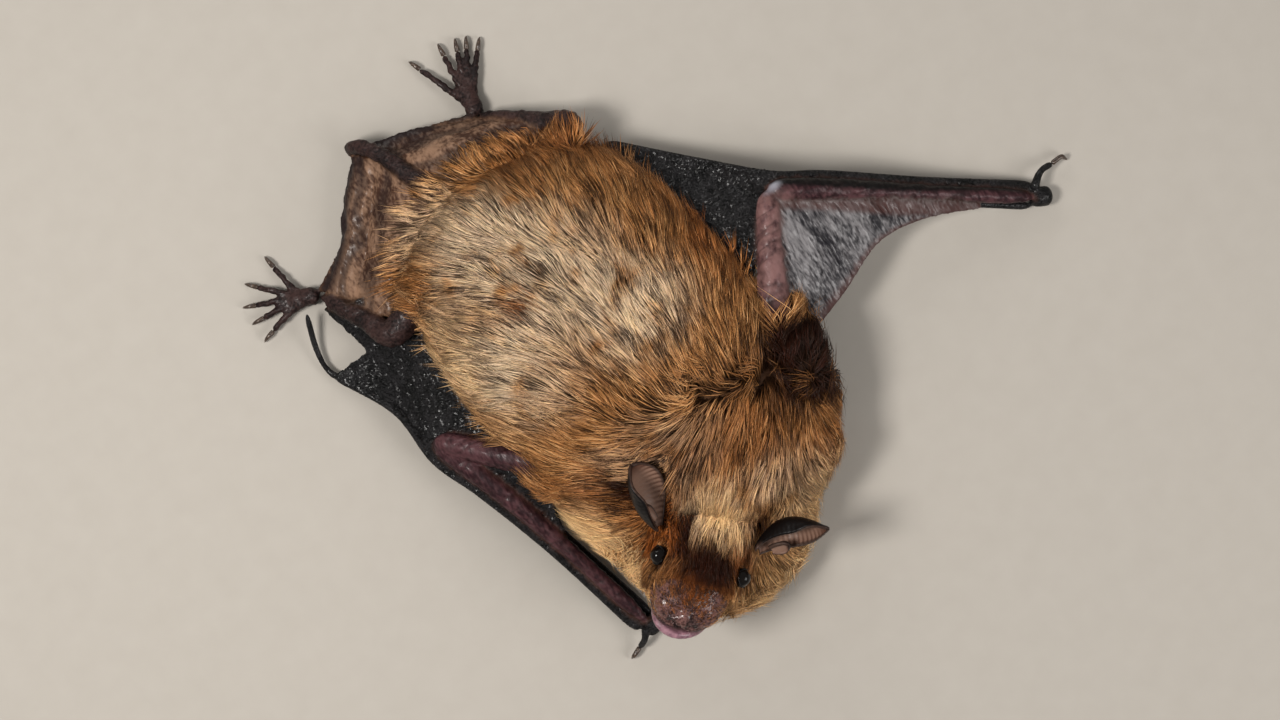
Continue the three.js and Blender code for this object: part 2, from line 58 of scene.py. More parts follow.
MM = 0.001  # a millimetre, in metres
BODY = "root"
ENTRIES = {"FLOAT": "value", "INT": "value", "FLOAT_VECTOR": "vector", "FLOAT_COLOR": "color"}
Points = np.ndarray
Spot = Sequence[float]
Path = Sequence[Spot]
Obj = bpy.types.Object
Place = Callable[[Points, Points], Points]
ToPart = Callable[[Points], Points]
Colour = tuple[float, float, float]


class Side(Enum):
    """The two sides of the bat, as a sign along the head's own y."""

    LEFT = 1
    RIGHT = -1

    @property
    def word(self) -> str:
        """The side as nodes are named for it."""
        return self.name.lower()


class Hide(Enum):
    """The kinds of surface on the bat, each with its own finish."""

    FUR, MUZZLE, LIP, EAR, WING, ARM, VEIL, LEG, TAIL = range(9)


# ---------------------------------------------------------------- lines and fields


def unit(v: Points) -> Points:
    """Vectors at length one."""
    return v / np.maximum(np.linalg.norm(v, axis=-1, keepdims=True), 1e-9)


def step(low: float, high: float, x: Points) -> Points:
    """A smooth rise from 0 at low to 1 at high, or a fall where low is the greater."""
    t = np.clip((x - low) / (high - low), 0, 1)
    return t * t * (3 - 2 * t)


def blob(points: Points, centre: Spot, reach: Spot) -> Points:
    """1 at a centre, falling softly to 0 outside an ellipsoid of that reach."""
    return step(1.25, 0.35, np.linalg.norm((points - np.array(centre)) / np.array(reach), axis=-1))


def ripple(points: Points, size: float, seed: int, waves: int = 28) -> Points:
    """A soft random field of about -1 to 1 at each point.

    Args:
        points: Where it is read.
        size: About how long its waves are.
        seed: Which field it is.
        waves: How many waves cross in it.

    Returns:
        Its value at each point.
    """
    random = np.random.default_rng(seed)
    ways = unit(random.normal(size=(waves, 3))) * random.uniform(0.7, 1.5, (waves, 1)) * (2 * math.pi / size)
    return np.sin(points @ ways.T + random.uniform(0, 2 * math.pi, waves)).sum(1) * (1.5 / math.sqrt(waves))


def between(a: Spot, b: Spot, t: float) -> Points:
    """A point that share of the way from a to b."""
    return np.array(a, float) * (1 - t) + np.array(b, float) * t


class Line:
    """A smooth line through points, read at t from 0 to 1, with the points evenly spaced in t."""

    def __init__(self, *points: Spot) -> None:
        """Stores the points, with one more beyond each end."""
        p = np.array(points, float)
        self.last = len(p) - 1
        self.points = np.vstack([2 * p[0] - p[1], p, 2 * p[-1] - p[-2]])

    def at(self, t: Points) -> Points:
        """The points of the line, as a centripetal spline.

        Args:
            t: Where along the line, each from 0 to 1.

        Returns:
            One point for each t.
        """
        place = np.clip(np.atleast_1d(np.asarray(t, float)), 0, 1) * self.last
        i = np.minimum(place.astype(int), self.last - 1)
        f = (place - i)[:, None]
        a, b, c, d = (self.points[i + k] for k in range(4))
        ab, bc, cd = (
            np.maximum(np.linalg.norm(q - p, axis=1, keepdims=True) ** 0.5, 1e-4)
            for p, q in ((a, b), (b, c), (c, d))
        )
        leave = ((b - a) / ab - (c - a) / (ab + bc) + (c - b) / bc) * bc
        arrive = ((c - b) / bc - (d - b) / (bc + cd) + (d - c) / cd) * bc
        return b + f * (leave + f * (3 * (c - b) - 2 * leave - arrive + f * (2 * (b - c) + leave + arrive)))

    def heading(self, t: Points) -> Points:
        """The line's direction at t, as unit vectors."""
        t = np.atleast_1d(np.asarray(t, float))
        return unit(self.at(np.minimum(t + 1e-3, 1)) - self.at(np.maximum(t - 1e-3, 0)))

    @property
    def length(self) -> float:
        """About how long the line is."""
        return float(np.linalg.norm(np.diff(self.at(np.linspace(0, 1, 60)), axis=0), axis=1).sum())


def smooth(values: Sequence[float], t: Points) -> Points:
    """Evenly spaced values read along a smooth curve.

    Args:
        values: The values.
        t: Where to read them, each from 0 to 1.

    Returns:
        One value for each t.
    """
    v = np.array(values, float)
    v = np.concatenate([v[:1], v, v[-1:]])
    last = len(v) - 3
    place = np.clip(t, 0, 1) * last
    i = np.minimum(place.astype(int), last - 1)
    f = place - i
    a, b, c, d = (v[i + k] for k in range(4))
    return b + 0.5 * f * (c - a + f * (2 * a - 5 * b + 4 * c - d + f * (3 * (b - c) + d - a)))


# ---------------------------------------------------------------- meshes


def choose(*objects: Obj) -> None:
    """Selects these objects alone, or none, the first of them active.

    Args:
        objects: What is to be selected.
    """
    bpy.ops.object.select_all(action="DESELECT")
    for obj in objects:
        obj.select_set(True)
    if objects:
        bpy.context.view_layer.objects.active = objects[0]


def shape(name: str, add: Callable[..., object], **settings: object) -> Obj:
    """A new mesh object.

    Args:
        name: Its name.
        add: The operator that adds it.
        settings: The operator's settings.

    Returns:
        The object.
    """
    choose()
    add(**settings)
    bpy.context.object.name = name
    return bpy.context.object


def ball_mesh(name: str, around: int, along: int) -> Obj:
    """A ball of radius 1, with that many corners round it and rings along it."""
    return shape(name, bpy.ops.mesh.primitive_uv_sphere_add, segments=around, ring_count=along, radius=1)


def read(items: bpy.types.bpy_prop_collection, entry: str, width: int, kind: type = np.float32) -> Points:
    """One entry of every item of a mesh, as a row of `width` values each.

    Args:
        items: The mesh's vertices, edges or the like.
        entry: The entry's name.
        width: How many values each item has.
        kind: The type of the values.

    Returns:
        The values, one row for each item.
    """
    found = np.empty(len(items) * width, kind)
    items.foreach_get(entry, found)
    return found.reshape(-1, width)


def corners(obj: Obj) -> Points:
    """The places of a mesh's vertices."""
    return read(obj.data.vertices, "co", 3).astype(float)


def outward(obj: Obj) -> Points:
    """The outward directions at a mesh's vertices."""
    return read(obj.data.vertex_normals, "vector", 3).astype(float)


def move_corners(obj: Obj, points: Points) -> None:
    """Puts a mesh's vertices in new places."""
    obj.data.vertices.foreach_set("co", points.astype(np.float32).ravel())
    obj.data.update()


def note(obj: Obj, name: str, values: Points, kind: str = "FLOAT") -> None:
    """Stores one value, or one row of them, for each vertex as a named attribute.

    Args:
        obj: The piece.
        name: What its materials call the attribute.
        values: What is stored.
        kind: FLOAT, INT, FLOAT_VECTOR or FLOAT_COLOR.
    """
    number = np.int32 if kind == "INT" else np.float32
    layer = obj.data.attributes.new(name, kind, "POINT")
    layer.data.foreach_set(ENTRIES[kind], np.ascontiguousarray(values).astype(number).ravel())


def noted(obj: Obj, name: str, width: int) -> Points:
    """A named attribute's values, one or a row of `width` for each vertex.

    Args:
        obj: The piece.
        name: The attribute's name.
        width: How many values each vertex has.

    Returns:
        The values as they are stored.
    """
    layer = obj.data.attributes[name]
    kind = np.int32 if layer.data_type == "INT" else np.float32
    rows = read(layer.data, ENTRIES[layer.data_type], width, kind)
    return rows if width > 1 else rows[:, 0]


def apply_modifier(obj: Obj, kind: str, **settings: object) -> None:
    """Adds a modifier and applies it.

    Args:
        obj: The piece.
        kind: The modifier's type, such as SOLIDIFY.
        settings: Its settings by name.
    """
    choose(obj)
    modifier = obj.modifiers.new(kind.lower(), kind)
    for key, value in settings.items():
        setattr(modifier, key, value)
    bpy.ops.object.modifier_apply(modifier=modifier.name)


def joined(objects: Sequence[Obj], name: str) -> Obj:
    """Several meshes made one object of that name.

    Args:
        objects: The meshes, the first of which takes in the others.
        name: The name of the whole.

    Returns:
        The whole.
    """
    choose(*objects)
    bpy.ops.object.join()
    objects[0].name = objects[0].data.name = name
    return objects[0]


def tree_of(points: Points) -> kdtree.KDTree:
    """A tree that finds which of these points is nearest to a place.

    Args:
        points: The points.

    Returns:
        The tree, which knows each point by its index.
    """
    tree = kdtree.KDTree(len(points))
    for i, p in enumerate(points):
        tree.insert(p, i)
    tree.balance()
    return tree


def nearest(tree: kdtree.KDTree, places: Points) -> tuple[Points, Points]:
    """The index of the tree's point nearest to each place, and how far it is."""
    found = [tree.find(p)[1:] for p in places]
    return np.array([f[0] for f in found], int), np.array([f[1] for f in found])


# ---------------------------------------------------------------- rounded bodies and sheets


@dataclass(frozen=True)
class Ring:
    """One station of a rounded body: its centre, half-width, rise and drop, and the coat over it."""

    at: Spot
    wide: float
    up: float
    down: float
    coat: float = 0


def rings(points: Path, radii: Sequence[float]) -> list[Ring]:
    """Round stations through points, each with its radius."""
    return [Ring(p, r, r, r) for p, r in zip(points, radii)]


def tagged(obj: Obj, hide: Hide, grain: Points, sheet: float = 0) -> Obj:
    """A piece that carries its kind of surface, its own along and across, and whether it is a sheet.

    Args:
        obj: The piece.
        hide: Its kind of surface.
        grain: How far along and across it each vertex lies.
        sheet: 1 for a sheet and 0 for a body.

    Returns:
        The same piece.
    """
    note(obj, "hide", np.full(len(grain), hide.value), "INT")
    note(obj, "grain", np.column_stack([grain, np.full(len(grain), sheet)]), "FLOAT_VECTOR")
    return obj


def rounded(
    name: str,
    stations: Sequence[Ring],
    hide: Hide,
    around: int = 24,
    along: int = 36,
    close: float = 0.12,
    floor: float = 0.25,
) -> Obj:
    """A rounded body along a smooth line, from a ball whose rings are laid along it.

    Args:
        name: The name of the piece.
        stations: The stations of the body, in order.
        hide: Its kind of surface.
        around: Corners round it.
        along: Rings along it.
        close: The share of the line that each end takes to close.
        floor: The height below which the body is pressed flat.

    Returns:
        The piece, in millimetres.
    """
    obj = ball_mesh(name, around, along)
    ball = corners(obj)
    line = Line(*[s.at for s in stations])
    t = np.clip((1 - ball[:, 2]) / 2, 0, 1)
    ring = np.hypot(ball[:, 0], ball[:, 1])
    forwards = line.heading(t)
    side = unit(np.cross([0, 0, 1], forwards))
    up = np.cross(forwards, side)
    ends = np.minimum(np.minimum(t, 1 - t) / close, 1)
    full = np.sqrt(np.maximum(0, 1 - (1 - ends) ** 2)) * (ring > 1e-6)
    across, upright = (ball[:, :2] / np.where(ring > 1e-6, ring, np.inf)[:, None]).T
    coat = smooth([s.coat for s in stations], t)
    wide = (smooth([s.wide for s in stations], t) - coat) * full
    rise = (smooth([s.up for s in stations], t) - 0.9 * coat) * full
    drop = smooth([s.down for s in stations], t) * full
    points = line.at(t) + side * (across * wide)[:, None]
    points += up * (upright * np.where(upright > 0, rise, drop))[:, None]
    points[:, 2] = np.maximum(points[:, 2], floor)
    move_corners(obj, points)
    girth = np.mean([s.wide for s in stations])
    return tagged(obj, hide, np.column_stack([t * line.length, np.arctan2(upright, across) * girth]))


def web(
    name: str, place: Place, hide: Hide, thick: float, size: tuple[float, float], fine: tuple[int, int]
) -> Obj:
    """A bent sheet of skin, from a grid laid along its middle and given its thickness.

    Args:
        name: The name of the piece.
        place: The middle of the sheet at u and v, each from 0 to 1.
        hide: Its kind of surface.
        thick: Its thickness.
        size: About how long it is along u and along v.
        fine: The number of steps along u and v.

    Returns:
        The piece, in millimetres.
    """
    add = bpy.ops.mesh.primitive_grid_add
    obj = shape(name, add, x_subdivisions=fine[0], y_subdivisions=fine[1], size=1)
    u, v = (corners(obj)[:, k] + 0.5 for k in (0, 1))
    points = place(u, v)
    points[:, 2] = np.maximum(points[:, 2], 0.2 + thick / 2)
    move_corners(obj, points)
    apply_modifier(obj, "SOLIDIFY", thickness=thick, offset=0)
    grain = np.column_stack([u * size[0], v * size[1]])
    return tagged(obj, hide, np.tile(grain, (len(obj.data.vertices) // len(grain), 1)), 1)


def stretched(bottom: Path, top: Path, left: Path = (), right: Path = ()) -> Place:
    """A sheet's middle, stretched between four lines.

    Args:
        bottom: The points of the line at v = 0, along u.
        top: The points of the line at v = 1, along u.
        left: Points between their starts, along v.
        right: Points between their ends, along v.

    Returns:
        The sheet's middle, as a function of u and v.
    """
    low, high = Line(*bottom), Line(*top)
    first, last = Line(bottom[0], *left, top[0]), Line(bottom[-1], *right, top[-1])
    a, b, c, d = first.at(0), last.at(0), first.at(1), last.at(1)

    def place(u: Points, v: Points) -> Points:
        """The sheet's middle at u and v."""
        s, t = u[:, None], v[:, None]
        edges = low.at(u) * (1 - t) + high.at(u) * t + first.at(v) * (1 - s) + last.at(v) * s
        return edges - a * (1 - s) * (1 - t) - b * s * (1 - t) - c * (1 - s) * t - d * s * t

    return place


@dataclass(frozen=True)
class Sheet:
    """Skin stretched or gathered between limbs: its edges as `stretched` has them, its swell and its pleats.

    `pleats` holds how high they rise, how many there are along v, and where the first begins.
    """

    name: str
    hide: Hide
    size: tuple[float, float]
    fine: tuple[int, int]
    bottom: Path
    top: Path
    left: Path = ()
    right: Path = ()
    thick: float = 0.75
    swell: float = 0
    pleats: tuple[float, float, float] = (0, 0, 0)

    def place(self, u: Points, v: Points) -> Points:
        """The sheet's middle at u and v, swollen between its long edges or pleated.

        Args:
            u: How far along its edges each point is.
            v: How far from its bottom to its top each point is.

        Returns:
            One point for each pair.
        """
        found = stretched(self.bottom, self.top, self.left, self.right)(u, v)
        rise, waves, shift = self.pleats
        wave = np.sin(2 * math.pi * (waves * v + shift + 0.06 * np.sin(5 * u)))
        wave = 2 * (0.5 + 0.5 * wave) ** 0.6 - 1
        found[:, 2] += self.swell * np.sin(math.pi * v)
        found[:, 2] += rise * wave * np.sin(math.pi * np.clip(u, 0.02, 0.98)) ** 0.6
        return found

    def flesh(self) -> Obj:
        """The sheet's piece."""
        return web(self.name, self.place, self.hide, self.thick, self.size, self.fine)


WING_SHEETS = (
    Sheet(
        "left_arm_web", Hide.VEIL, (32, 18), (90, 50),
        [(29.6, 11, 15.6), (41.6, 4, 11.8), (57, -6.2, 6)],
        [(19, -12.4, 13), (31.6, -8.2, 10.6), (41, -4.4, 9), (49, -5.2, 7), (57.6, -8.6, 4.8)],
        [(24.2, 0, 15.6)],
    ),
    Sheet(
        "right_arm_web", Hide.WING, (24, 8), (60, 24),
        [(-32.6, 4.4, 8.6), (-29.4, -6, 7), (-25.6, -18, 5)],
        [(-25.5, 3.4, 10.6), (-22.4, -5, 10.2), (-23, -11, 7.6), (-24.6, -18.6, 4.8)],
    ),
    Sheet(
        "left_flank_web", Hide.WING, (36, 10), (90, 30),
        [(3, 30, 7), (9.5, 18, 8.6), (13.5, 6, 11), (17, -2, 12.4)],
        [(12.4, 31.4, 5.6), (22.8, 20, 8.4), (31.4, 11.8, 11.8)],
        right=[(26, 5.6, 13)], thick=1.6, swell=0.6,
    ),
    Sheet(
        "right_flank_web", Hide.WING, (28, 11), (80, 34),
        [(-29.6, 30.6, 6), (-20.5, 22.4, 8), (-19.5, 12, 9), (-17, -3, 10)],
        [(-37, 33.4, 2.4), (-34.8, 23, 2.4), (-35.2, 15, 2.4), (-34.6, 7.2, 5)],
        thick=1.6, swell=1.4,
    ),
)
TAIL_SHEETS = (
    Sheet(
        "left_tail_web", Hide.TAIL, (20, 16), (70, 70),
        [(-11, 33, 12), (-4, 33, 13), (6, 32, 11)],
        [(-19.6, 51.2, 3.8), (-12, 49.4, 4), (-5.6, 47.4, 3), (-1.6, 45.6, 2.8)],
        [(-16, 44, 8.2)], [(5, 39.6, 7.6)], pleats=(0.8, 1.3, 0.6),
    ),
    Sheet(
        "right_tail_web", Hide.TAIL, (20, 16), (70, 90),
        [(-11, 33, 12), (-17, 28, 12.4), (-23, 22, 11)],
        [(-20.2, 51.2, 3.6), (-25.8, 45.6, 2.2), (-29.4, 40.6, 2), (-35.9, 35.9, 3)],
        [(-16.8, 46, 7.6)], [(-31.4, 29, 6.6)], pleats=(1.3, 2.2, 0.35),
    ),
)


# ---------------------------------------------------------------- the flesh


@dataclass
class Torso:
    """Trunk, breast and nape as they are under the coat, with the belly pressed flat, and the tail."""

    back: float = 12.5
    press: float = 1.5
    coat: float = 3.0
    floor: float = 0.7
    tail_root: Spot = (-12, 37, 11)
    tail_bend: Spot = (-17.2, 49, 7.6)

    def ring(self, x: float, y: float, z: float, wide: float, up: float, thin: float = 1) -> Ring:
        """A station of the trunk, z and up as shares of the back's height, thin as a share of the coat."""
        z *= self.back
        return Ring((x, y, z), wide, up * self.back, z + self.press, self.coat * thin)

    def flesh(self) -> list[Obj]:
        """The pieces of the torso."""
        trunk = (
            (-7.2, 36.8, 0.7, 12.6, 0.5, 0.5), (-7, 30.5, 0.82, 17.4, 0.74, 0.85),
            (-5, 19.5, 0.88, 21.8, 0.98), (-2.2, 5, 0.92, 23.2, 1.08), (-0.2, -8, 0.94, 22.9, 1.06),
            (0, -18, 0.9, 22.6, 0.96),
            (-1, -26, 0.82, 20, 0.72), (-0.4, -32, 0.62, 16.8, 0.46, 0.9), (2, -38.4, 0.48, 13.4, 0.36, 0.9),
        )
        nape = (
            ((-6, -28, 16), 12, 8.5, 15), ((-1, -19, 14.5), 16.5, 11, 14), ((1, -8, 13), 19, 12.4, 12),
        )
        shoulder = rings([(17, -4, 12), (19, -12, 11), (18, -22, 10)], [3.5, 4, 3.5])
        armpit = rings([(15, -18, 12.5), (18.8, -12.6, 14), (21, -6.6, 14.4)], [4.6, 4.4, 3.2])
        bodies = (
            ("trunk", [self.ring(*row) for row in trunk], 64, 72, 0.13),
            ("nape", [Ring(*row, self.coat) for row in nape], 40, 30, 0.3),
            ("shoulder", shoulder, 24, 30, 0.3),
            ("armpit", armpit, 24, 30, 0.3),
        )
        return [
            rounded(f"{name}_flesh", stations, Hide.FUR, around, along, close, self.floor)
            for name, stations, around, along, close in bodies
        ]

    def tail(self) -> Obj:
        """The tail, which bends down at its tip."""
        line = [self.tail_root, between(self.tail_root, self.tail_bend, 0.5), self.tail_bend]
        line += [(-19.2, 51.4, 5.8), (-20.4, 52, 3.6), (-20, 50.6, 1.8)]
        return rounded("tail_flesh", rings(line, [1.9, 1.45, 1.25, 1.15, 1, 0.75]), Hide.LEG, 20, 60)


@dataclass
class Head:
    """Skull, muzzle, jaw and lids, in a frame of their own.

    The frame's x points forwards, y to the bat's left and z up, from midway between the eyes.
    """

    origin: Spot = (-8.9, -30.6, 20)
    turn: float = math.radians(-135.5)
    lift: float = math.radians(25)
    lean: float = math.radians(-10)
    eye: Spot = (0.6, 6.3, 0.4)
    brow: float = 0.7
    gaze: dict[Side, Spot] = field(
        default_factory=lambda: {Side.LEFT: (0.1, 0.72, 0.68), Side.RIGHT: (0.25, 0.86, 0.42)}
    )
    eye_radius: float = 1.45
    coat: float = 2.3
    aside: float = 0.008
    reach: float = 15

    def __post_init__(self) -> None:
        """Works out how the head's frame stands in the bat's."""
        turned = Matrix.Rotation(self.turn, 3, "Z") @ Matrix.Rotation(-self.lift, 3, "Y")
        self.axes = np.array(turned @ Matrix.Rotation(self.lean, 3, "X"))

    def placed(self, points: Points) -> Points:
        """Points of the head's frame in the bat's, with the muzzle bent a little to the right.

        Args:
            points: One point or rows of them.

        Returns:
            The same points in the bat's frame.
        """
        p = np.atleast_2d(np.asarray(points, float)).copy()
        p[:, 1] -= self.aside * np.maximum(p[:, 0], 0) ** 2
        return (p @ self.axes.T + np.array(self.origin)).reshape(np.shape(points))

    def seen(self, points: Points) -> Points:
        """Points of the bat's frame in the head's.

        Args:
            points: Rows of points.

        Returns:
            The same points in the head's frame.
        """
        p = (np.asarray(points, float) - np.array(self.origin)) @ self.axes
        p[:, 1] += self.aside * np.maximum(p[:, 0], 0) ** 2
        return p

    def turned(self, directions: Points) -> Points:
        """Directions of the head's frame in the bat's."""
        return np.asarray(directions, float) @ self.axes.T

    def sided(self, point: Spot, side: Side) -> Points:
        """A point of the head's left side, moved to that side."""
        return np.array(point, float) * (1, side.value, 1)

    def near(self, own: Points) -> Points:
        """Whether points of the head's frame lie about the head at all."""
        return np.linalg.norm(own, axis=1) < self.reach

    def off_skull(self, own: Points) -> Points:
        """How far points of the head's frame lie from the middle of the skull, which is a little long."""
        return np.linalg.norm((own - (-4, 0, -1)) * (0.75, 1, 1), axis=1)

    def has(self, own: Points) -> Points:
        """Whether points of the head's frame belong to the head."""
        return (self.off_skull(own) < 10.5) | ((own[:, 0] > 0) & self.near(own))

    def lump(self, name: str, centre: Spot, radii: Spot) -> Obj:
        """A soft lump of the muzzle, centred and sized along the head's own axes.

        Args:
            name: The name of the piece.
            centre: Its middle.
            radii: Its size along each axis of the head.

        Returns:
            The piece, in millimetres.
        """
        obj = ball_mesh(name, 24, 18)
        ball = corners(obj)
        move_corners(obj, self.placed(ball * radii + np.array(centre)))
        return tagged(obj, Hide.MUZZLE, ball[:, :2] * max(radii))

    def tube(self, name: str, points: Path, radii: Sequence[float], hide: Hide, close: float = 0.15) -> Obj:
        """A round tube through points of the head's frame."""
        return rounded(name, rings([self.placed(p) for p in points], radii), hide, 16, 28, close, floor=-9)

    def block(
        self, name: str, stations: Sequence[Ring], hide: Hide, fine: tuple[int, int], close: float
    ) -> Obj:
        """A rounded body made in the head's frame, and moved to where the head is.

        Args:
            name: The name of the piece.
            stations: Its stations in the head's frame.
            hide: Its kind of surface.
            fine: Corners round it and rings along it.
            close: The share of the line that each end takes to close.

        Returns:
            The piece, in millimetres.
        """
        obj = rounded(name, stations, hide, *fine, close, floor=-99)
        move_corners(obj, self.placed(corners(obj)))
        return obj

    def flesh(self) -> list[Obj]:
        """The pieces of the head but for its ears."""
        skull = (
            (-13.5, -1.5, 6.5, 5.5, 6, 1), (-9, -1, 9.6, 7.2, 8, 1), (-4.5, -0.6, 9, 6.4, 7.6, 0.9),
            (0, -0.4, 7, 4.6, 5.6, 0.42), (3.6, -0.6, 6.2, 3.7, 4, 0.1), (6.6, -0.9, 5.3, 3.2, 2.9, 0.05),
            (9.2, -1.3, 3.9, 2.2, 2, 0.02),
        )
        furred = [Ring((x, 0, z), wide, up, down, self.coat * thin) for x, z, wide, up, down, thin in skull]
        jaw = [
            Ring((-3, 0, -4.6), 4, 1.4, 3, 0.5), Ring((3, 0, -4.9), 4.7, 1.4, 2.2, 0.2),
            Ring((7.2, 0, -4.9), 4.2, 1.2, 1.5), Ring((9.9, 0, -4.7), 2.8, 0.9, 0.8),
        ]
        lip = [(4.4, 4.5, -4.1), (7.3, 4.1, -4.2), (9.3, 2.7, -4.25), (10.2, 0, -4.3)]
        lip += [(x, -y, z) for x, y, z in reversed(lip[:-1])]
        nose = [(7.4, 0, 0.4), (8.9, 0, -0.4), (9.4, 0, -1.6)]
        made = [
            self.block("skull_flesh", furred, Hide.FUR, (48, 56), 0.16),
            self.block("jaw_flesh", jaw, Hide.MUZZLE, (28, 28), 0.2),
            self.tube("lower_lip_flesh", lip, [0.3, 0.46, 0.6, 0.66, 0.6, 0.46, 0.3], Hide.LIP, 0.06),
            self.tube("nose_flesh", nose, [1.6, 1.45, 0.9], Hide.MUZZLE, 0.3),
        ]
        for side in Side:
            made += self.features(side)
        return made

    def features(self, side: Side) -> list[Obj]:
        """The gland pad, cheek, upper lip and nostril of one side.

        Args:
            side: Which side.

        Returns:
            The pieces, in millimetres.
        """
        lumps = {"gland": ((5.6, 2.7, -0.8), (3.7, 2.7, 2.5)), "cheek": ((3, 4.3, -3.2), (3.6, 1.7, 1.7))}
        flew = ((2.4, 5.4, -2.9), (5.8, 4.8, -3), (8.3, 3.1, -2.8), (9.5, 0.5, -2.6))
        wing = ((8.6, 0.8, 0.3), (9.3, 1.4, 0.05), (9.3, 2.1, -0.7), (8.7, 2.2, -1.5))
        tubes = {
            "upper_lip": (flew, [0.6, 0.75, 0.75, 0.55], 0.15),
            "nostril": (wing, [0.5, 0.5, 0.5, 0.45], 0.2),
        }
        made = [
            self.lump(f"{side.word}_{name}_flesh", self.sided(centre, side), radii)
            for name, (centre, radii) in lumps.items()
        ]
        for name, (line, radii, close) in tubes.items():
            points = [self.sided(p, side) for p in line]
            made.append(self.tube(f"{side.word}_{name}_flesh", points, radii, Hide.MUZZLE, close))
        return made

    def eye_frame(self, side: Side) -> tuple[Points, Points]:
        """The centre of one eye, and its gaze's axes: forwards along the lids, up across them, and out.

        Args:
            side: Which eye.

        Returns:
            Its centre, and its three axes as rows.
        """
        centre = self.placed(self.sided(self.eye, side) + (0, 0, self.brow if side is Side.LEFT else 0))
        out = unit(self.turned(self.sided(self.gaze[side], side)))
        ahead = unit(self.turned([1, 0, -0.15]))
        ahead = unit(ahead - out * (ahead @ out))
        return centre, np.stack([ahead, np.cross(out, ahead) * side.value, out])

    def lid(self, side: Side) -> Obj:
        """The rim of skin that rings one eye.

        Args:
            side: Which eye it rings.

        Returns:
            The piece, in millimetres.
        """
        centre, (ahead, up, out) = self.eye_frame(side)
        line = []
        for a in np.linspace(0, 2 * math.pi, 14):
            flat = centre + ahead * (1.3 * math.cos(a)) + up * (1.2 * math.sin(a))
            line.append(flat + out * (0.42 + 0.1 * math.cos(2 * a)))
        obj = rounded(f"{side.word}_lid", rings(line, [0.2] * len(line)), Hide.WING, 14, 64, 0.001, -9)
        note(obj, "wing", np.ones(len(obj.data.vertices)))
        return obj


@dataclass
class Arm:
    """One arm of the wing: shoulder to wrist, thumb, and the fingers folded along the forearm."""

    side: Side
    shoulder: Spot
    forearm: Path
    wrist: Path
    thumb: Path
    claw: Path
    past_elbow: dict[int, list[Spot]]
    flank: Spot
    tip: Path = ()
    finger: float = 0.6
    fold: dict[int, tuple[float, float]] = field(
        default_factory=lambda: {3: (2.05, -1.2), 4: (0.6, -2.5), 5: (-1.2, -2.2)}
    )

    def beside(self, share: float, outwards: float, up: float) -> Points:
        """A point beside the forearm, at a share of the way from wrist to elbow.

        Args:
            share: How far from wrist to elbow.
            outwards: How far out it lies.
            up: How far above the forearm's line it lies.

        Returns:
            The point.
        """
        line = Line(*self.forearm)
        heading = line.heading(1 - share)[0]
        across = unit(np.cross([0, 0, self.side.value], [heading[0], heading[1], 0]))
        return line.at(1 - share)[0] + across * outwards + np.array([0, 0, up])

    def finger_line(self, number: int) -> list[Points]:
        """The points that one folded finger follows, from the wrist back past the elbow.

        Args:
            number: Which finger, 3 to 5.

        Returns:
            The points, in order.
        """
        outwards, up = self.fold[number]
        spread = ((0, 1), (0.35, 1), (0.68, 1.25), (0.94, 1.25))
        beside = [self.beside(share, outwards * s, up * s) for share, s in spread]
        return beside + [np.array(p, float) for p in self.past_elbow[number]]

    def flesh(self) -> list[Obj]:
        """The pieces of the arm."""
        word, elbow = self.side.word, self.forearm[0]
        middle = between(self.shoulder, elbow, 0.5) + (0, 0, 0.8)
        upper = rings([self.shoulder, middle, elbow], [3.4, 2.3, 1.8])
        lower = rings(self.forearm, [1.85, 1.75, 1.3, 1.2])
        hand = [Ring(p, 1.6, 1.4, p[2] + 0.1) for p in self.wrist]
        made = [
            rounded(f"{word}_upper_arm_flesh", upper, Hide.ARM, 24, 36),
            rounded(f"{word}_forearm_flesh", lower, Hide.ARM, 24, 80),
            rounded(f"{word}_wrist_flesh", hand, Hide.WING, 20, 16, 0.3),
            rounded(f"{word}_thumb_flesh", rings(self.thumb, [0.75, 0.55, 0.55]), Hide.WING, 16, 20),
        ]
        for number in self.fold:
            line = self.finger_line(number)
            radii = [self.finger * share for share in (1.15, 1, 0.9, *[1] * (len(line) - 3))]
            finger = rings(line, radii)
            made.append(rounded(f"{word}_finger_{number}_flesh", finger, Hide.WING, 16, 110, 0.03))
        made += self.folds()
        if self.tip:
            last = rings(self.tip, [self.finger, self.finger * 0.75, 0.5, 0.5])
            made.append(rounded(f"{word}_finger_tip_flesh", last, Hide.WING, 16, 50))
        return made

    def folds(self) -> list[Obj]:
        """The folded skin that fills in between the forearm and the fingers, and behind the elbow."""
        beside = self.finger_line(3)
        inner = [self.beside(share, 0.3, -0.8) for share in (0, 0.35, 0.68, 0.98)]
        along = stretched(inner, [p + (0, 0, 0.15) for p in beside[:4]])
        word, start = self.side.word, np.array(self.past_elbow[5][0], float)
        ends = [np.array(p, float) for p in self.past_elbow[3]]
        behind = stretched([inner[-1], start, self.flank], [beside[3], *ends[:2]])
        return [
            web(f"{word}_finger_web", along, Hide.WING, 1.2, (40, 3), (120, 8)),
            web(f"{word}_elbow_web", behind, Hide.WING, 1.2, (20, 5), (60, 16)),
        ]


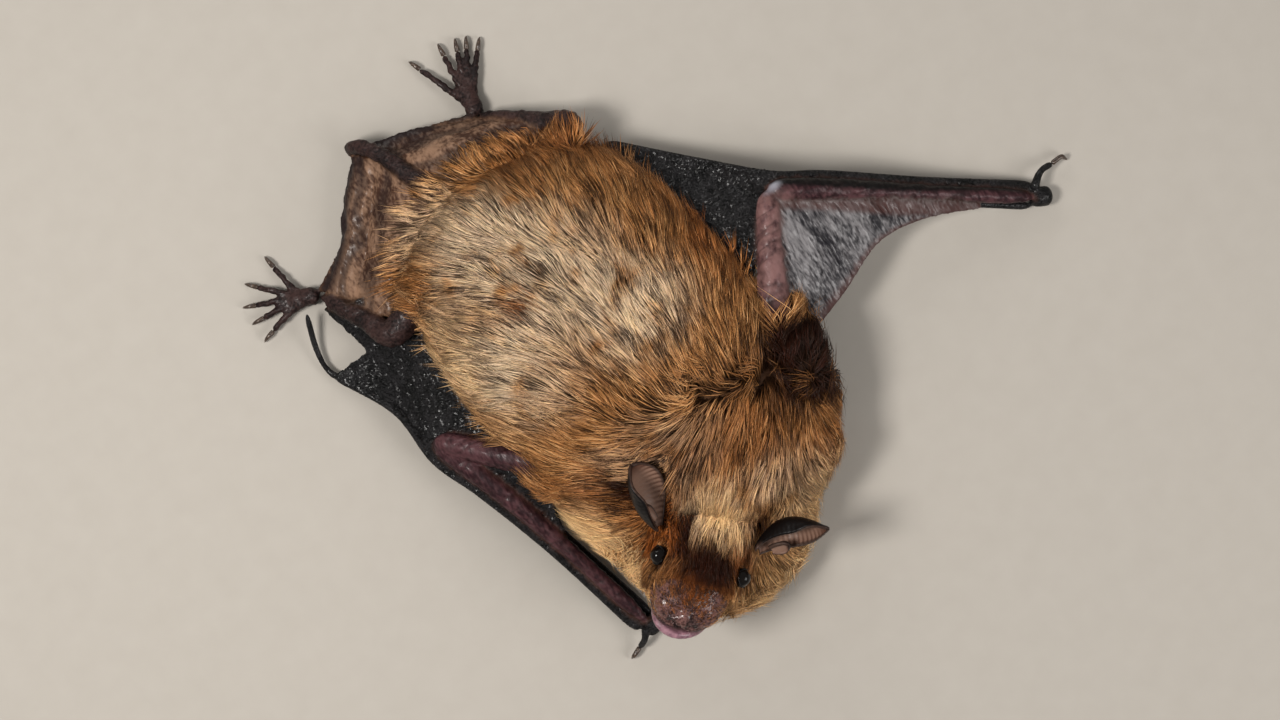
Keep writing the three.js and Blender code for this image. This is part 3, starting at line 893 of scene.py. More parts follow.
@dataclass
class Leg:
    """One leg and foot: thigh to ankle, sole, toes and the spur that props the tail skin."""

    side: Side
    hip: Spot
    knee: Spot
    ankle: Spot
    sole: Path
    heel: Spot
    toes: Sequence[tuple[Spot, Spot]]
    arch: float = 1.8

    def toe_line(self, toe: tuple[Spot, Spot]) -> list[Points]:
        """The points that one toe follows, from inside the sole to where its claw begins.

        Args:
            toe: Where it begins and ends, seen from above.

        Returns:
            The points, in order.
        """
        root, tip = (np.array([*p, 0.0]) for p in toe)
        heights = ((-0.35, 1.6), (0, 1.9), (0.55, self.arch), (1, 1))
        return [between(root, tip, share) + (0, 0, height) for share, height in heights]

    def flesh(self) -> list[Obj]:
        """The pieces of the leg."""
        word = self.side.word
        line = [self.hip, between(self.hip, self.knee, 0.6), self.knee, between(self.knee, self.ankle, 0.35)]
        limb = rings([*line, self.ankle], [3.2, 2.6, 2.2, 1.7, 1.3])
        sizes = ((1.4, 1.2), (1.55, 1.1), (2.1, 0.9))
        sole = [Ring(p, wide, up, p[2] + 0.2) for p, (wide, up) in zip(self.sole, sizes)]
        spur = rings([between(self.sole[0], self.heel, 0.05), self.heel], [0.6, 0.42])
        made = [
            rounded(f"{word}_leg_flesh", limb, Hide.LEG, 24, 50),
            rounded(f"{word}_foot_flesh", sole, Hide.LEG, 20, 20, 0.2),
            rounded(f"{word}_calcar_flesh", spur, Hide.LEG, 12, 20),
        ]
        for number, toe in enumerate(self.toes, 1):
            path = rings(self.toe_line(toe), [0.75, 0.66, 0.5, 0.48])
            made.append(rounded(f"{word}_toe_{number}_flesh", path, Hide.LEG, 14, 26, 0.1))
        return made


# ---------------------------------------------------------------- the lie of the coat


class Tint(Enum):
    """The colours that mark the coat, over its plain tawny."""

    PALE, RUST, DARK, CREAM = range(4)


# Each mark is a soft patch of a tint: the x and y of its middle, how far it reaches along both, its
# share, and the height below which it shows.
MARKS = {
    Tint.PALE: (
        (-9, 24, 8, 9), (-3, 14, 9.5, 10), (3, 2.5, 9, 8), (-13, 4, 8, 9, 0.7), (-19, 15, 6, 8, 0.55),
        (-15, 34, 8, 5, 0.6), (-17, 8, 7, 6, 0.6), (10, -24, 7, 6, 0.6), (-3, -13, 12, 4, 0.5),
        (-0.6, -22, 5.6, 6, 0.9),
    ),
    Tint.RUST: (
        (17.5, 4, 5.5, 9, 0.6), (17, 14, 5.5, 9, 0.4), (12, 27, 6, 6, 0.4), (5.5, 33, 11, 6.5, 0.5),
        (-22, 27, 5, 5, 0.35), (-9.3, 12.9, 2.8, 2.2, 0.9), (-22, -2, 4.5, 9, 0.45), (-17, -16, 6, 7, 0.6),
        (-6, -15, 9, 6, 0.4), (8, -15, 10, 5, 0.42), (12, -22, 5, 6, 0.25), (-8.5, -21.5, 4, 5, 0.6),
        (3, -28, 4, 5, 0.6), (19, -22, 4, 6, 0.35),
    ),
    Tint.DARK: (
        # Some dark marks are painted shade. The one at -9.8 and -16.6 is a painted shadow beside the right
        # ear. Those at 12 and -10 and at 4 and -4 paint shade along the crease where the neck's coat parts
        # from the back's, over dark roots that show there. The wide one at 2 and -14 paints shade in the gaps
        # between the neck's tufts.
        (18.4, -12.6, 6, 4.2), (22, -15, 5, 4.4, 0.8), (12, -10, 5, 2, 0.3), (-8.5, 11, 2.2, 1.1, 0.5),
        (-9.8, -16.6, 1.8, 3.4), (4, -4, 3.4, 1.6, 0.35), (-2, -11, 3, 1.6, 0.3), (2, -14, 12, 5, 0.24),
    ),
    Tint.CREAM: (
        (-19.5, -22.5, 6.5, 8.5), (9, -38, 12, 7, 0.9), (13, -31, 7.5, 7.5, 0.85), (-0.2, -21.8, 4.8, 5, 0.6),
        (-21, 12, 6, 9, 0.5), (-21.6, -1, 5, 6, 0.3), (-4, -41, 9, 5, 0.8, 14),
    ),
}
FACE_MARKS = {
    Tint.RUST: ((-4.2, -5.4, 3.6, 2.2), (-3.6, 5, 3.4, 2.4), (4, 0, 8.5, 6)),
    Tint.DARK: (
        (-2.4, 0, 3.6, 5.8), (1.6, 0.5, 4.2, 4.6, 0.6), (1.6, -5.6, 3, 2, 0.5), (-6, -4.2, 4.4, 1.5),
        (-5.6, 5.8, 3.6, 1.3, 0.7), (8, 0, 4, 7, 0.2),
    ),
    Tint.PALE: ((-12, 0.6, 9.5, 6.4),),
    Tint.CREAM: ((-10.8, 0.9, 8, 5, 0.75), (2.5, 9.4, 6.5, 3.6, 0.95), (-3, 11.5, 6, 4, 0.8)),
}


def mark(
    points: Points, x: float, y: float, wide: float, long: float, share: float = 1, below: float = 99
) -> Points:
    """How strongly one mark, a row of MARKS, shows at each point."""
    away = np.hypot(*((points[:, :2] - (x, y)) / (wide, long)).T)
    return share * step(1.3, 0.3, away) * step(below + 3, below, points[:, 2])


@dataclass
class Lie:
    """How the coat lies: where each hair points, how long and how deep it is, and how it is marked."""

    head: Head
    parting: Line = field(
        default_factory=lambda: Line(
            (-26, -9, 0), (-12, -7, 0), (-4, -6.5, 0), (4, -8, 0),
            (8, -9.3, 0), (13, -11, 0), (19, -14, 0), (26, -16, 0),
        )
    )

    def behind_parting(self, points: Points) -> Points:
        """How far each point lies behind the line at which the neck's coat parts from the back's."""
        line = self.parting.at(np.linspace(0, 1, 80))
        return points[:, 1] - np.interp(points[:, 0], line[:, 0], line[:, 1])

    def flow(self, points: Points) -> Points:
        """The direction in which the coat points, before it is laid along the surface.

        Args:
            points: Places on the bat.

        Returns:
            One direction for each place.
        """
        x, y = points[:, 0], points[:, 1]
        fan = np.radians(np.clip(2.1 * (x - 4), -62, 48)) * (0.75 + 0.5 * step(0, 35, y))
        back = np.stack([np.sin(fan), np.cos(fan), -0.25 * np.abs(np.sin(fan))], -1)
        own = self.head.seen(points)
        sideways = np.sign(own[:, 1]) * np.radians(80) * step(4.5, 14, np.abs(own[:, 1]))
        ahead = np.stack([np.cos(sideways), np.sin(sideways), -0.15 * np.ones(len(x))], -1)
        snout = np.stack([-np.ones(len(x)), 0.6 * np.sign(own[:, 1]), np.zeros(len(x))], -1)
        ahead = np.where((own[:, 0] > 3.6)[:, None], snout, ahead)
        forwards = unit(self.head.turned(ahead))
        wander = 1.6 * ripple(points, 5, 21)
        share = step(-0.8, 0.8, self.behind_parting(points) + wander)[:, None]
        side = np.maximum(step(-10, -17, x), step(17, 22, x))[:, None]
        soft = step(-7, 5, self.behind_parting(points))[:, None]
        share = share * (1 - side) + soft * side
        swirl = [ripple(points, 6, seed) + 0.6 * ripple(points, 2.2, seed + 9) for seed in (31, 32, 33)]
        return unit(back * share + forwards * (1 - share) + 0.2 * np.stack(swirl, -1))

    def zone(self, points: Points) -> tuple[Points, Points]:
        """Shares of crown and of face at each point, the rest being body.

        Args:
            points: Places on the bat.

        Returns:
            The shares of crown, and those of face.
        """
        own = self.head.seen(points)
        near = step(13.5, 9.5, self.head.off_skull(own))
        face = step(-0.5, 4.5, own[:, 0]) * step(11, 8, np.abs(own[:, 1]))
        return near * (1 - face), face * step(17, 13, np.linalg.norm(own, axis=1))

    def length(self, points: Points) -> Points:
        """How long the hairs are."""
        crown, face = self.zone(points)
        rump = step(24, 36, points[:, 1])
        return (1 - crown - face) * (5.6 - 0.8 * rump) + crown * 4 + face * 0.7

    def depth(self, points: Points) -> Points:
        """How far the tips stand off the skin."""
        crown, face = self.zone(points)
        rump = step(22, 37, points[:, 1])
        return (1 - crown - face) * (2.8 - 2.2 * rump) + crown * 1.9 + face * 0.15

    def markings(self, points: Points) -> Points:
        """The markings of skin and coat: shares of pale, rust, dark and cream, one row for each point.

        Args:
            points: Places on the bat.

        Returns:
            One row of shares for each place.
        """
        shares = np.zeros((len(points), len(Tint)))
        for tint, rows in MARKS.items():
            shares[:, tint.value] += sum(mark(points, *row) for row in rows)
        own = self.head.seen(points)
        body = step(-12, -4, points[:, 1])
        rust, dark, cream = (shares[:, tint.value] for tint in (Tint.RUST, Tint.DARK, Tint.CREAM))
        rust += body * 0.5 * step(11, 2, points[:, 2]) * step(28, 22, points[:, 1])
        near = step(15, 12, np.linalg.norm(own, axis=1)) * step(-7, -3, own[:, 2])
        cream *= 1 - near * step(-8, -4, own[:, 0]) * step(9, 6.5, np.abs(own[:, 1]))
        for tint, rows in FACE_MARKS.items():
            shares[:, tint.value] += sum(mark(own, *row) for row in rows) * near
        return np.clip(shares, 0, 1)


# ---------------------------------------------------------------- the skin


@dataclass
class Skin:
    """The one skin of the bat: all the flesh grown together, sculpted, and thinned where it is plain.

    Each kind of surface spreads over its edges in a few passes, by a share each time. `hidden` is the
    share of fur past which the coat hides the skin, and of the faces that go there. `slip` is how far
    thinning may carry a corner off the surface before it is brought back.
    """

    head: Head
    pieces: list[Obj]
    voxel: float = 0.24
    faces: int = 165_000
    crinkle: float = 0.1
    passes: int = 4
    spread: float = 0.6
    hidden: float = 0.9
    slip: float = 0.35
    obj: Obj | None = None

    def grow(self) -> None:
        """Joins the pieces, grows them together and smooths the joins."""
        whole = joined(self.pieces, "bat_skin")
        choose(whole)
        bpy.ops.object.mode_set(mode="EDIT")
        bpy.ops.mesh.select_all(action="SELECT")
        bpy.ops.mesh.normals_make_consistent(inside=False)
        bpy.ops.object.mode_set(mode="OBJECT")
        places = corners(whole)
        self.hides = noted(whole, "hide", 1)
        self.grains = noted(whole, "grain", 3)
        self.source = tree_of(places)
        furred = np.flatnonzero(self.hides == Hide.FUR.value)
        self.furred = tree_of(places[furred])
        apply_modifier(whole, "REMESH", mode="VOXEL", voxel_size=self.voxel)
        apply_modifier(whole, "SMOOTH", factor=0.5, iterations=4)
        self.obj = whole

    def kinds(self, places: Points) -> dict[Hide, Points]:
        """How much each place belongs to each kind of surface, softly along the joins.

        Args:
            places: Where the skin's corners are.

        Returns:
            A share for each place, by kind.
        """
        found, _ = nearest(self.source, places)
        a, b = read(self.obj.data.edges, "vertices", 2, np.int32).T
        count = len(places)
        around = np.maximum(np.bincount(a, minlength=count) + np.bincount(b, minlength=count), 1)
        self.grain = self.grains[found]
        kinds = {}
        for kind in Hide:
            mask = (self.hides[found] == kind.value).astype(float)
            for _ in range(self.passes):
                total = np.bincount(a, mask[b], count) + np.bincount(b, mask[a], count)
                mask = (1 - self.spread) * mask + self.spread * total / around
            kinds[kind] = mask
        own = self.head.seen(places)
        muzzle = step(2.6, 4.6, own[:, 0]) * self.head.near(own) * (1 - kinds[Hide.LIP])
        kinds[Hide.MUZZLE] = np.maximum(kinds[Hide.MUZZLE], muzzle)
        return kinds

    def fur_at(self, places: Points, kinds: dict[Hide, Points]) -> Points:
        """How thickly the coat grows at each place, thinning onto the limbs and the muzzle.

        Args:
            places: Where the skin's corners are.
            kinds: Their kinds of surface.

        Returns:
            A share for each place, 1 for the full coat.
        """
        fur = np.ones(len(places))
        bare = np.flatnonzero(kinds[Hide.FUR] < 0.98)
        away = nearest(self.furred, places[bare])[1]
        fur[bare] = step(1.3, 0.15, away)
        fringe = 0.42 * step(3.8, 0.8, away) * step(27, 31, places[bare, 1])
        fur[bare] = np.maximum(fur[bare], fringe)
        own = self.head.seen(places)
        on_head = (own[:, 0] > 0) & self.head.near(own)
        reach = own[:, 0] + 0.8 * ripple(own, 2.4, 17)
        bridge = step(3.6, 1, np.abs(own[:, 1])) * step(8.4, 4.6, reach)
        snout = 0.16 + 0.84 * np.maximum(step(6, 3, reach), bridge)
        snout *= step(9.4, 8.2, own[:, 0]) * (1 - kinds[Hide.LIP])
        fur = np.where(on_head, snout * step(-6.2, -5, own[:, 2]), fur)
        for side in Side:
            centre, _ = self.head.eye_frame(side)
            fur *= step(1.5, 2.2, np.linalg.norm(places - centre, axis=1))
        return fur

    def sculpt(self) -> None:
        """Presses the nostrils, the mouth and the wrinkles of the bare skin into the surface."""
        places, ways = corners(self.obj), outward(self.obj)
        kinds = self.kinds(places)
        own = self.head.seen(places)
        wing = kinds[Hide.WING] * self.grain[:, 2]
        veil = kinds[Hide.VEIL]
        drawn = places * (1, 1, 1.6)
        crease = 1 - 2 * np.abs(ripple(drawn, 1.7, 5))
        height = wing * self.crinkle * (0.7 * crease + 0.5 * ripple(drawn, 0.95, 6))
        fine = ripple(places * (1, 1, 0.5), 1.3, 8)
        height += kinds[Hide.LEG] * 0.06 * fine
        height += kinds[Hide.TAIL] * 0.05 * ripple(places * (1.6, 0.7, 1), 2.4, 9)
        height += kinds[Hide.TAIL] * 0.3 * (1 - self.fold(places))
        drawn = places * (1, 0.25, 0.3)
        veil = veil * step(18, 16.8, self.grain[:, 1])
        height += veil * (0.11 * (1 - 2 * np.abs(ripple(drawn, 1.7, 12))) + 0.06 * ripple(drawn, 0.9, 13))
        height += kinds[Hide.ARM] * (0.025 * fine - 0.1 * self.crease(places))
        height += kinds[Hide.MUZZLE] * 0.018 * ripple(own, 0.9, 10)
        for side in (-1, 1):
            height -= 0.75 * blob(own, (9.6, 1.6 * side, -0.5), (0.8, 0.6, 0.5))
        height -= 0.22 * blob(own, (9.9, 0, -1.0), (1.2, 0.3, 1.5))
        move_corners(self.obj, places + ways * height[:, None])

    def crease(self, places: Points) -> Points:
        """How deep each place lies in one of the creases of the arms' skin."""
        return step(0.5, 0, np.abs(ripple(places * (0.35, 1, 0.5), 3, 14)))

    def fold(self, places: Points) -> Points:
        """How deep each place lies in one of the folds that run along the tail skin's edge."""
        wave = np.sin(self.grain[:, 1] * 2 * math.pi / 4.4 + 0.9 * ripple(places, 9, 15))
        return step(0.1, -0.95, wave) * step(5, 8, self.grain[:, 1])

    def thin_out(self) -> None:
        """Thins the faces, most of all where the coat hides them."""
        places = corners(self.obj)
        hidden = self.fur_at(places, self.kinds(places)) > self.hidden
        hidden &= self.head.seen(places)[:, 0] < -3
        group = self.obj.vertex_groups.new(name="hidden")
        group.add(np.flatnonzero(hidden).tolist(), 1.0, "REPLACE")
        left = 1 - self.hidden * hidden.mean()
        apply_modifier(self.obj, "DECIMATE", ratio=left, vertex_group="hidden", vertex_group_factor=6.0)
        self.obj.vertex_groups.clear()
        triangles = sum(len(face.vertices) - 2 for face in self.obj.data.polygons)
        log.info("bat_skin: %d triangles left where it shows", triangles)
        apply_modifier(self.obj, "DECIMATE", ratio=self.faces / triangles)
        thinned = corners(self.obj)
        found, far = nearest(tree_of(places), thinned)
        lost = far > self.slip
        move_corners(self.obj, np.where(lost[:, None], places[found], thinned))
        log.info("bat_skin: %d corners brought back to the surface", int(lost.sum()))

    def dress(self, finish: bpy.types.Material, lie: Lie) -> None:
        """Marks the kinds of surface on the skin and gives it its finish.

        Args:
            finish: The skin's material.
            lie: The markings that skin and coat share.
        """
        places = corners(self.obj)
        kinds = self.kinds(places)
        for kind, mask in {**kinds, Hide.FUR: self.fur_at(places, kinds)}.items():
            note(self.obj, kind.name.lower(), mask)
        off = (places - (30, 11.3, 15)) @ (0.542, 0.84, 0) + 0.5 * step(14, 0, np.abs(places[:, 0] - 47))
        along, arm = self.grain[:, 1], kinds[Hide.ARM]
        edge = np.maximum(step(15.8, 17.4, along), step(-3.2, -2.2, off))
        note(self.obj, "hem", kinds[Hide.TAIL] * step(12.2, 15.4, along) + kinds[Hide.VEIL] * edge)
        own = self.head.seen(places)
        # The nostrils and the gap of the mouth, which the finish darkens as painted shade.
        pits = 1.8 * sum(blob(own, (9.7, 1.7 * side, -0.5), (1.3, 0.8, 0.9)) for side in (-1, 1))
        mouth = kinds[Hide.MUZZLE] * step(-2.75, -3.3, own[:, 2]) * step(3, 5, own[:, 0]) * (own[:, 0] < 15)
        note(self.obj, "pit", np.clip(np.maximum(pits, mouth), 0, 1))
        # The folds of the tail skin and the creases of the arms' skin, which the finish darkens as painted
        # shade.
        folds = kinds[Hide.TAIL] * self.fold(places) + arm * 0.75 * self.crease(places)
        note(self.obj, "fold", folds)
        note(self.obj, "sooty", arm * step(0.6, 1.1, off) * (places[:, 0] > 31))
        note(self.obj, "flushed", arm * np.clip(2 * blob(places, (27, 2, 16), (7, 11, 6)), 0, 1))
        # A painted highlight on the raised left elbow.
        note(self.obj, "worn", blob(places, (30.8, 11.6, 16.6), (2, 1.1, 1.8)))
        note(self.obj, "markings", lie.markings(places), "FLOAT_COLOR")
        self.obj.data.materials.clear()
        self.obj.data.materials.append(finish)


@dataclass(frozen=True)
class Leaf:
    """A hollow leaf: its back half rolls over towards the opening, and its front half curls less."""

    foot: Spot
    axis: Spot
    opening: Spot
    back: tuple[float, float]
    front: tuple[float, float]
    bow: float = 0.2
    narrow: float = 0.6
    belly: float = 0.6
    peak: float = 1
    ribs: int = 0

    def rib(self, u: Points, v: Points) -> Points:
        """The height of the fine ribs that cross the inside, strongest near its rims.

        Args:
            u: How far across the leaf each point is.
            v: How far along it each point is.

        Returns:
            One height for each pair.
        """
        middle = np.abs(2 * u - 1)
        wave = 0.06 * np.sin(2 * math.pi * self.ribs * (v + 0.1 * (u - 0.5)))
        wave *= step(0.05, 0.2, v) * step(1, 0.85, v)
        return wave * (0.25 + 0.75 * step(0.5, 0.85, middle)) * step(1, 0.93, middle)

    def place(self, u: Points, v: Points) -> Points:
        """The middle of the leaf.

        Args:
            u: How far across it each point is, from back to front.
            v: How far along it each point is, from foot to tip.

        Returns:
            One point for each pair.
        """
        along = unit(np.array(self.axis, float))
        across = unit(np.cross(along, self.opening))
        hollow = np.cross(across, along)
        girth = self.narrow + (1 - self.narrow) * np.sin(math.pi * np.clip(v / (2 * self.belly), 0, 1))
        girth *= np.sqrt(1 - v**5)
        turn = 2 * u - 1
        width, bend = (np.where(turn < 0, b, f) for b, f in zip(self.back, self.front))
        bend = bend * (1 - 0.45 * step(0.55, 1, v))
        radius = (width * girth + 0.04) / bend
        deep = radius * (1 - np.cos(turn * bend)) - self.bow * np.sin(math.pi * v**self.peak)
        deep += self.rib(u, v) if self.ribs else 0
        line = np.array(self.foot) + np.outer(v, self.axis)
        return line + across * (radius * np.sin(turn * bend))[:, None] + hollow * deep[:, None]


@dataclass
class Ear:
    """An ear: a thin leaf with a rolled rim, and the tragus that stands in its opening."""

    side: Side
    leaf: Leaf
    tragus: Leaf
    thick: float = 0.34
    roll: float = 0.1

    def sheet(self, name: str, leaf: Leaf, thick: float, fine: tuple[int, int]) -> Obj:
        """A leaf as a closed shell that carries which of its faces is the inner one.

        Args:
            name: The name of the piece.
            leaf: Its form.
            thick: Its thickness.
            fine: The number of steps across it and along it.

        Returns:
            The piece, in millimetres.
        """
        obj = web(name, leaf.place, Hide.EAR, thick, (1, 1), fine)
        places, ways = corners(obj), outward(obj)
        u, v = noted(obj, "grain", 3)[:, :2].T
        rim = np.maximum(step(0.9, 0.98, np.abs(2 * u - 1)), step(0.95, 0.99, v))
        middle = leaf.place(u, v)
        hollow = leaf.place(np.full(len(v), 0.5), v) + 3 * unit(np.array(leaf.opening)) - middle
        inner = step(-0.1, 0.1, ((places - middle) * unit(hollow)).sum(1))
        move_corners(obj, places + ways * (self.roll * rim)[:, None])
        for key, values in {"inner": inner, "rim": rim, "across": u, "up": v, "ear": np.ones(len(u))}.items():
            note(obj, key, values)
        return obj

    def build(self) -> list[Obj]:
        """The ear's leaf and its tragus."""
        word = self.side.word
        return [
            self.sheet(f"{word}_ear_leaf", self.leaf, self.thick, (36, 76)),
            self.sheet(f"{word}_tragus_leaf", self.tragus, 0.5, (16, 24)),
        ]


FACING = {Side.LEFT: (-0.38, -0.6, 0.71), Side.RIGHT: (0.56, -0.13, 0.82)}
EARS = (
    Ear(
        Side.LEFT,
        Leaf(
            (-0.2, -33.2, 18), (10.3, -2.9, 4.6), FACING[Side.LEFT], back=(5.4, 2.25), front=(4.2, 1.45),
            bow=3.3, narrow=0.3, belly=0.5, peak=0.85, ribs=15,
        ),
        Leaf((1.4, -34.4, 18.9), (2.5, -0.9, 1), FACING[Side.LEFT], back=(1.3, 1), front=(1.5, 0.8)),
    ),
    Ear(
        Side.RIGHT,
        Leaf(
            (-11.4, -22.4, 20.9), (2, 10, 5.2), FACING[Side.RIGHT], back=(5.6, 2.1), front=(4.7, 1.1),
            bow=1.2, narrow=0.22, belly=0.6, peak=0.9, ribs=15,
        ),
        Leaf((-11, -21.3, 22.1), (-0.3, 2.6, 1.8), FACING[Side.RIGHT], back=(1, 1), front=(1.1, 0.8)),
    ),
)


# ---------------------------------------------------------------- the coat


FAR = 99.0  # past every end of the bat, so no bound at all


@dataclass(frozen=True)
class Patch:
    """A piece of the coat, and the part of the skin that it grows from.

    Each pair holds the least and the most: of how far the skin faces up, of the place along the bat
    and across it, and of the place along the head. `on_head` is None where head and body both count.
    """

    name: str
    tufts: int
    facing: tuple[float, float]
    along: tuple[float, float] = (-FAR, FAR)
    across: tuple[float, float] = (-FAR, FAR)
    ahead: tuple[float, float] = (-FAR, FAR)
    on_head: bool | None = None
    width: float = 0.132

    def wants(self, points: Points, facing: Points, own: Points, on_head: Points) -> Points:
        """Whether the patch grows at each place.

        Args:
            points: The places.
            facing: The skin's outward directions there.
            own: The places in the head's frame.
            on_head: Whether each belongs to the head.

        Returns:
            One truth value for each place.
        """
        found = on_head == self.on_head if self.on_head is not None else np.ones(len(points), bool)
        measures = (facing[:, 2], points[:, 1], points[:, 0], own[:, 0])
        for values, (low, high) in zip(measures, (self.facing, self.along, self.across, self.ahead)):
            found &= (values > low) & (values <= high)
        return found


TRUNK = (-9, 26)
BODY_PATCHES = (
    Patch("coat_back_left", 19500, (0.25, FAR), TRUNK, (-1, FAR)),
    Patch("coat_back_right", 19500, (0.25, FAR), TRUNK, (-FAR, -1)),
    Patch("coat_rump", 18000, (-0.3, FAR), (26, FAR)),
    Patch("coat_left_flank", 11000, (-0.3, 0.25), TRUNK, (-1, FAR)),
    Patch("coat_right_flank", 11000, (-0.3, 0.25), TRUNK, (-FAR, -1)),
    Patch("coat_neck", 19500, (0.2, FAR), (-FAR, -9), on_head=False),
    Patch("coat_ruff", 14000, (-0.3, 0.2), (-FAR, -9), on_head=False),
    Patch("coat_crown", 17000, (-0.3, FAR), ahead=(-FAR, 0.5), on_head=True, width=0.125),
    Patch("coat_face", 13000, (-0.6, FAR), ahead=(0.5, FAR), on_head=True, width=0.09),
    Patch("coat_belly", 4500, (-FAR, -0.3), width=0.25),
)


# A tuft has three corners at its root, three at its middle and one at its tip. These are how far up
# each corner stands, and the faces between them.
TUFT_UP = (0, 0, 0, 0.5, 0.5, 0.5, 1)
TUFT_FACES = (
    *[(k, (k + 1) % 3, 3 + (k + 1) % 3, 3 + k) for k in range(3)],
    *[(3 + k, 3 + (k + 1) % 3, 6) for k in range(3)],
    (2, 1, 0),
)


@dataclass
class Coat:
    """The fur: thin tufts that grow from the skin, gathered in locks, in pieces of a moderate size.

    A lock draws its hairs aside by `gather` at most. `stray` is how far a hair's heading wanders, and
    `narrow` how much sooner one lock ends across the flow than along it.
    """

    lie: Lie
    skin: Obj
    fur: Points
    clear: Points
    seed: int = 7
    floor: float = 0.05
    sunk: float = 0.15
    per_lock: int = 9
    gather: float = 1.2
    stray: float = 0.09
    narrow: float = 3.4
    apart: float = 500
    bake_patch: float = 0.003

    def __post_init__(self) -> None:
        """Reads the skin and draws up the tree that finds the nearest place on it."""
        self.random = np.random.default_rng(self.seed)
        self.places = corners(self.skin)
        self.normals = outward(self.skin)
        mesh = self.skin.data
        mesh.calc_loop_triangles()
        triangles = read(mesh.loop_triangles, "vertices", 3, np.int32)
        self.triangles = triangles[self.fur[triangles].mean(1) > 0.02]
        a, b, c = (self.places[self.triangles[:, k]] for k in range(3))
        self.area = np.linalg.norm(np.cross(b - a, c - a), axis=1) / 2 * self.fur[self.triangles].mean(1)
        self.centres = (a + b + c) / 3
        self.facing = unit(np.cross(b - a, c - a))
        self.used = np.unique(self.triangles)
        self.tree = tree_of(self.places[self.used])
        self.clearing = tree_of(self.clear)

    def laid(self, points: Points) -> tuple[Points, Points]:
        """Points brought down onto the skin, and the skin's outward directions there.

        Args:
            points: Places near the skin.

        Returns:
            The places on the skin, and its outward directions there.
        """
        found = self.used[nearest(self.tree, points)[0]]
        normals = self.normals[found]
        off = ((points - self.places[found]) * normals).sum(1, keepdims=True)
        return points - normals * off, normals

    def roots(self, patch: Patch, count: int) -> tuple[Points, Points]:
        """Random places on the patch, evenly by area, and the skin's outward directions there.

        Args:
            patch: The piece of the coat.
            count: How many places are wanted.

        Returns:
            The places, and the directions.
        """
        own = self.lie.head.seen(self.centres)
        weight = self.area * patch.wants(self.centres, self.facing, own, self.lie.head.has(own))
        total = np.cumsum(weight)
        picked = np.searchsorted(total, self.random.random(count) * total[-1])
        r, s = np.sqrt(self.random.random(count)), self.random.random(count)
        shares = np.stack([1 - r, r * (1 - s), r * s], -1)[..., None]
        at = self.triangles[picked]
        points = (self.places[at] * shares).sum(1)
        return points, unit((self.normals[at] * shares).sum(1))

    def strands(self, points: Points, normals: Points, lift: Points) -> tuple[Points, Points, Points]:
        """Where hairs that grow from these roots have their middle and tip.

        Args:
            points: The roots.
            normals: The skin's outward directions there.
            lift: A factor on how far each stands off the skin.

        Returns:
            The middles, the tips, and the skin's outward directions at the middles.
        """
        count = len(points)
        length = self.lie.length(points) * (0.75 + 0.5 * self.random.random(count))
        depth = self.lie.depth(points) * lift
        heading = self.lie.flow(points)
        stray = np.stack([self.random.normal(0, self.stray, count) for _ in range(3)], -1)
        heading = unit(heading + stray)
        heading = unit(heading - normals * (heading * normals).sum(1, keepdims=True))
        half, middle_normals = self.laid(points + heading * (0.5 * length)[:, None])
        onward = unit(0.5 * heading + 0.5 * self.lie.flow(half) + 0.5 * stray)
        onward = unit(onward - middle_normals * (onward * middle_normals).sum(1, keepdims=True))
        end, end_normals = self.laid(half + onward * (0.5 * length)[:, None])
        middle = half + middle_normals * (0.72 * depth)[:, None]
        tip = end + end_normals * depth[:, None]
        return middle, tip, middle_normals

    def locked(self, points: Points) -> Points:
        """Places moved so that those across the flow are farther than those along it, neck and back apart.

        Args:
            points: Places on the skin.

        Returns:
            The same places moved.
        """
        own = self.lie.head.seen(points) * (1, self.narrow, self.narrow)
        body = points * (self.narrow, 1, self.narrow) + (self.apart, 0, 0)
        return np.where((self.lie.behind_parting(points) > 0)[:, None], body, own)

    def grow(self, patch: Patch) -> Obj:
        """Makes one piece of the coat.

        Args:
            patch: Which piece.

        Returns:
            The piece, in millimetres.
        """
        locks = patch.tufts // self.per_lock
        lock_roots, lock_normals = self.roots(patch, locks)
        lock_lift = 0.6 + 0.6 * self.random.random(locks)
        lock_middle, lock_tip, _ = self.strands(lock_roots, lock_normals, lock_lift)
        lock_shade = self.random.normal(0, 1, locks)
        roots, normals = self.roots(patch, patch.tufts)
        lock, _ = nearest(tree_of(self.locked(lock_roots)), self.locked(roots))
        lift = lock_lift[lock] * (0.8 + 0.35 * self.random.random(len(roots)))
        middle, tip, middle_normals = self.strands(roots, normals, lift)
        heading = unit(tip - roots)
        pull = (0.35 + 0.45 * self.random.random(len(roots)))[:, None]
        for points, towards, share in ((middle, lock_middle, 0.45), (tip, lock_tip, 1.0)):
            off = towards[lock] - points
            off -= heading * (off * heading).sum(1, keepdims=True)
            far = np.linalg.norm(off, axis=1, keepdims=True)
            points += off * np.minimum(1, self.gather / np.maximum(far, 1e-6)) * pull * share
        room = np.minimum(nearest(self.clearing, tip)[1], nearest(self.clearing, middle)[1])
        short = 0.15 + 0.85 * step(0.5, 2.1, room)[:, None]
        middle, tip = roots + (middle - roots) * short, roots + (tip - roots) * short
        # A random value for each tuft and its lock. Where it is high, the coat's finish paints a highlight on
        # the tuft. Where it is low, it paints the shade in the gaps between locks.
        shade = 0.95 * lock_shade[lock] + 1.05 * self.random.normal(0, 1, len(roots))
        obj = self.mesh(patch, roots - normals * self.sunk, middle, tip, middle_normals)
        note(obj, "markings", np.repeat(self.lie.markings(roots), len(TUFT_UP), 0), "FLOAT_COLOR")
        note(obj, "shade", np.repeat(shade, len(TUFT_UP)))
        note(obj, "along", np.tile(TUFT_UP, len(roots)))
        self.unwrap(obj, roots)
        return obj

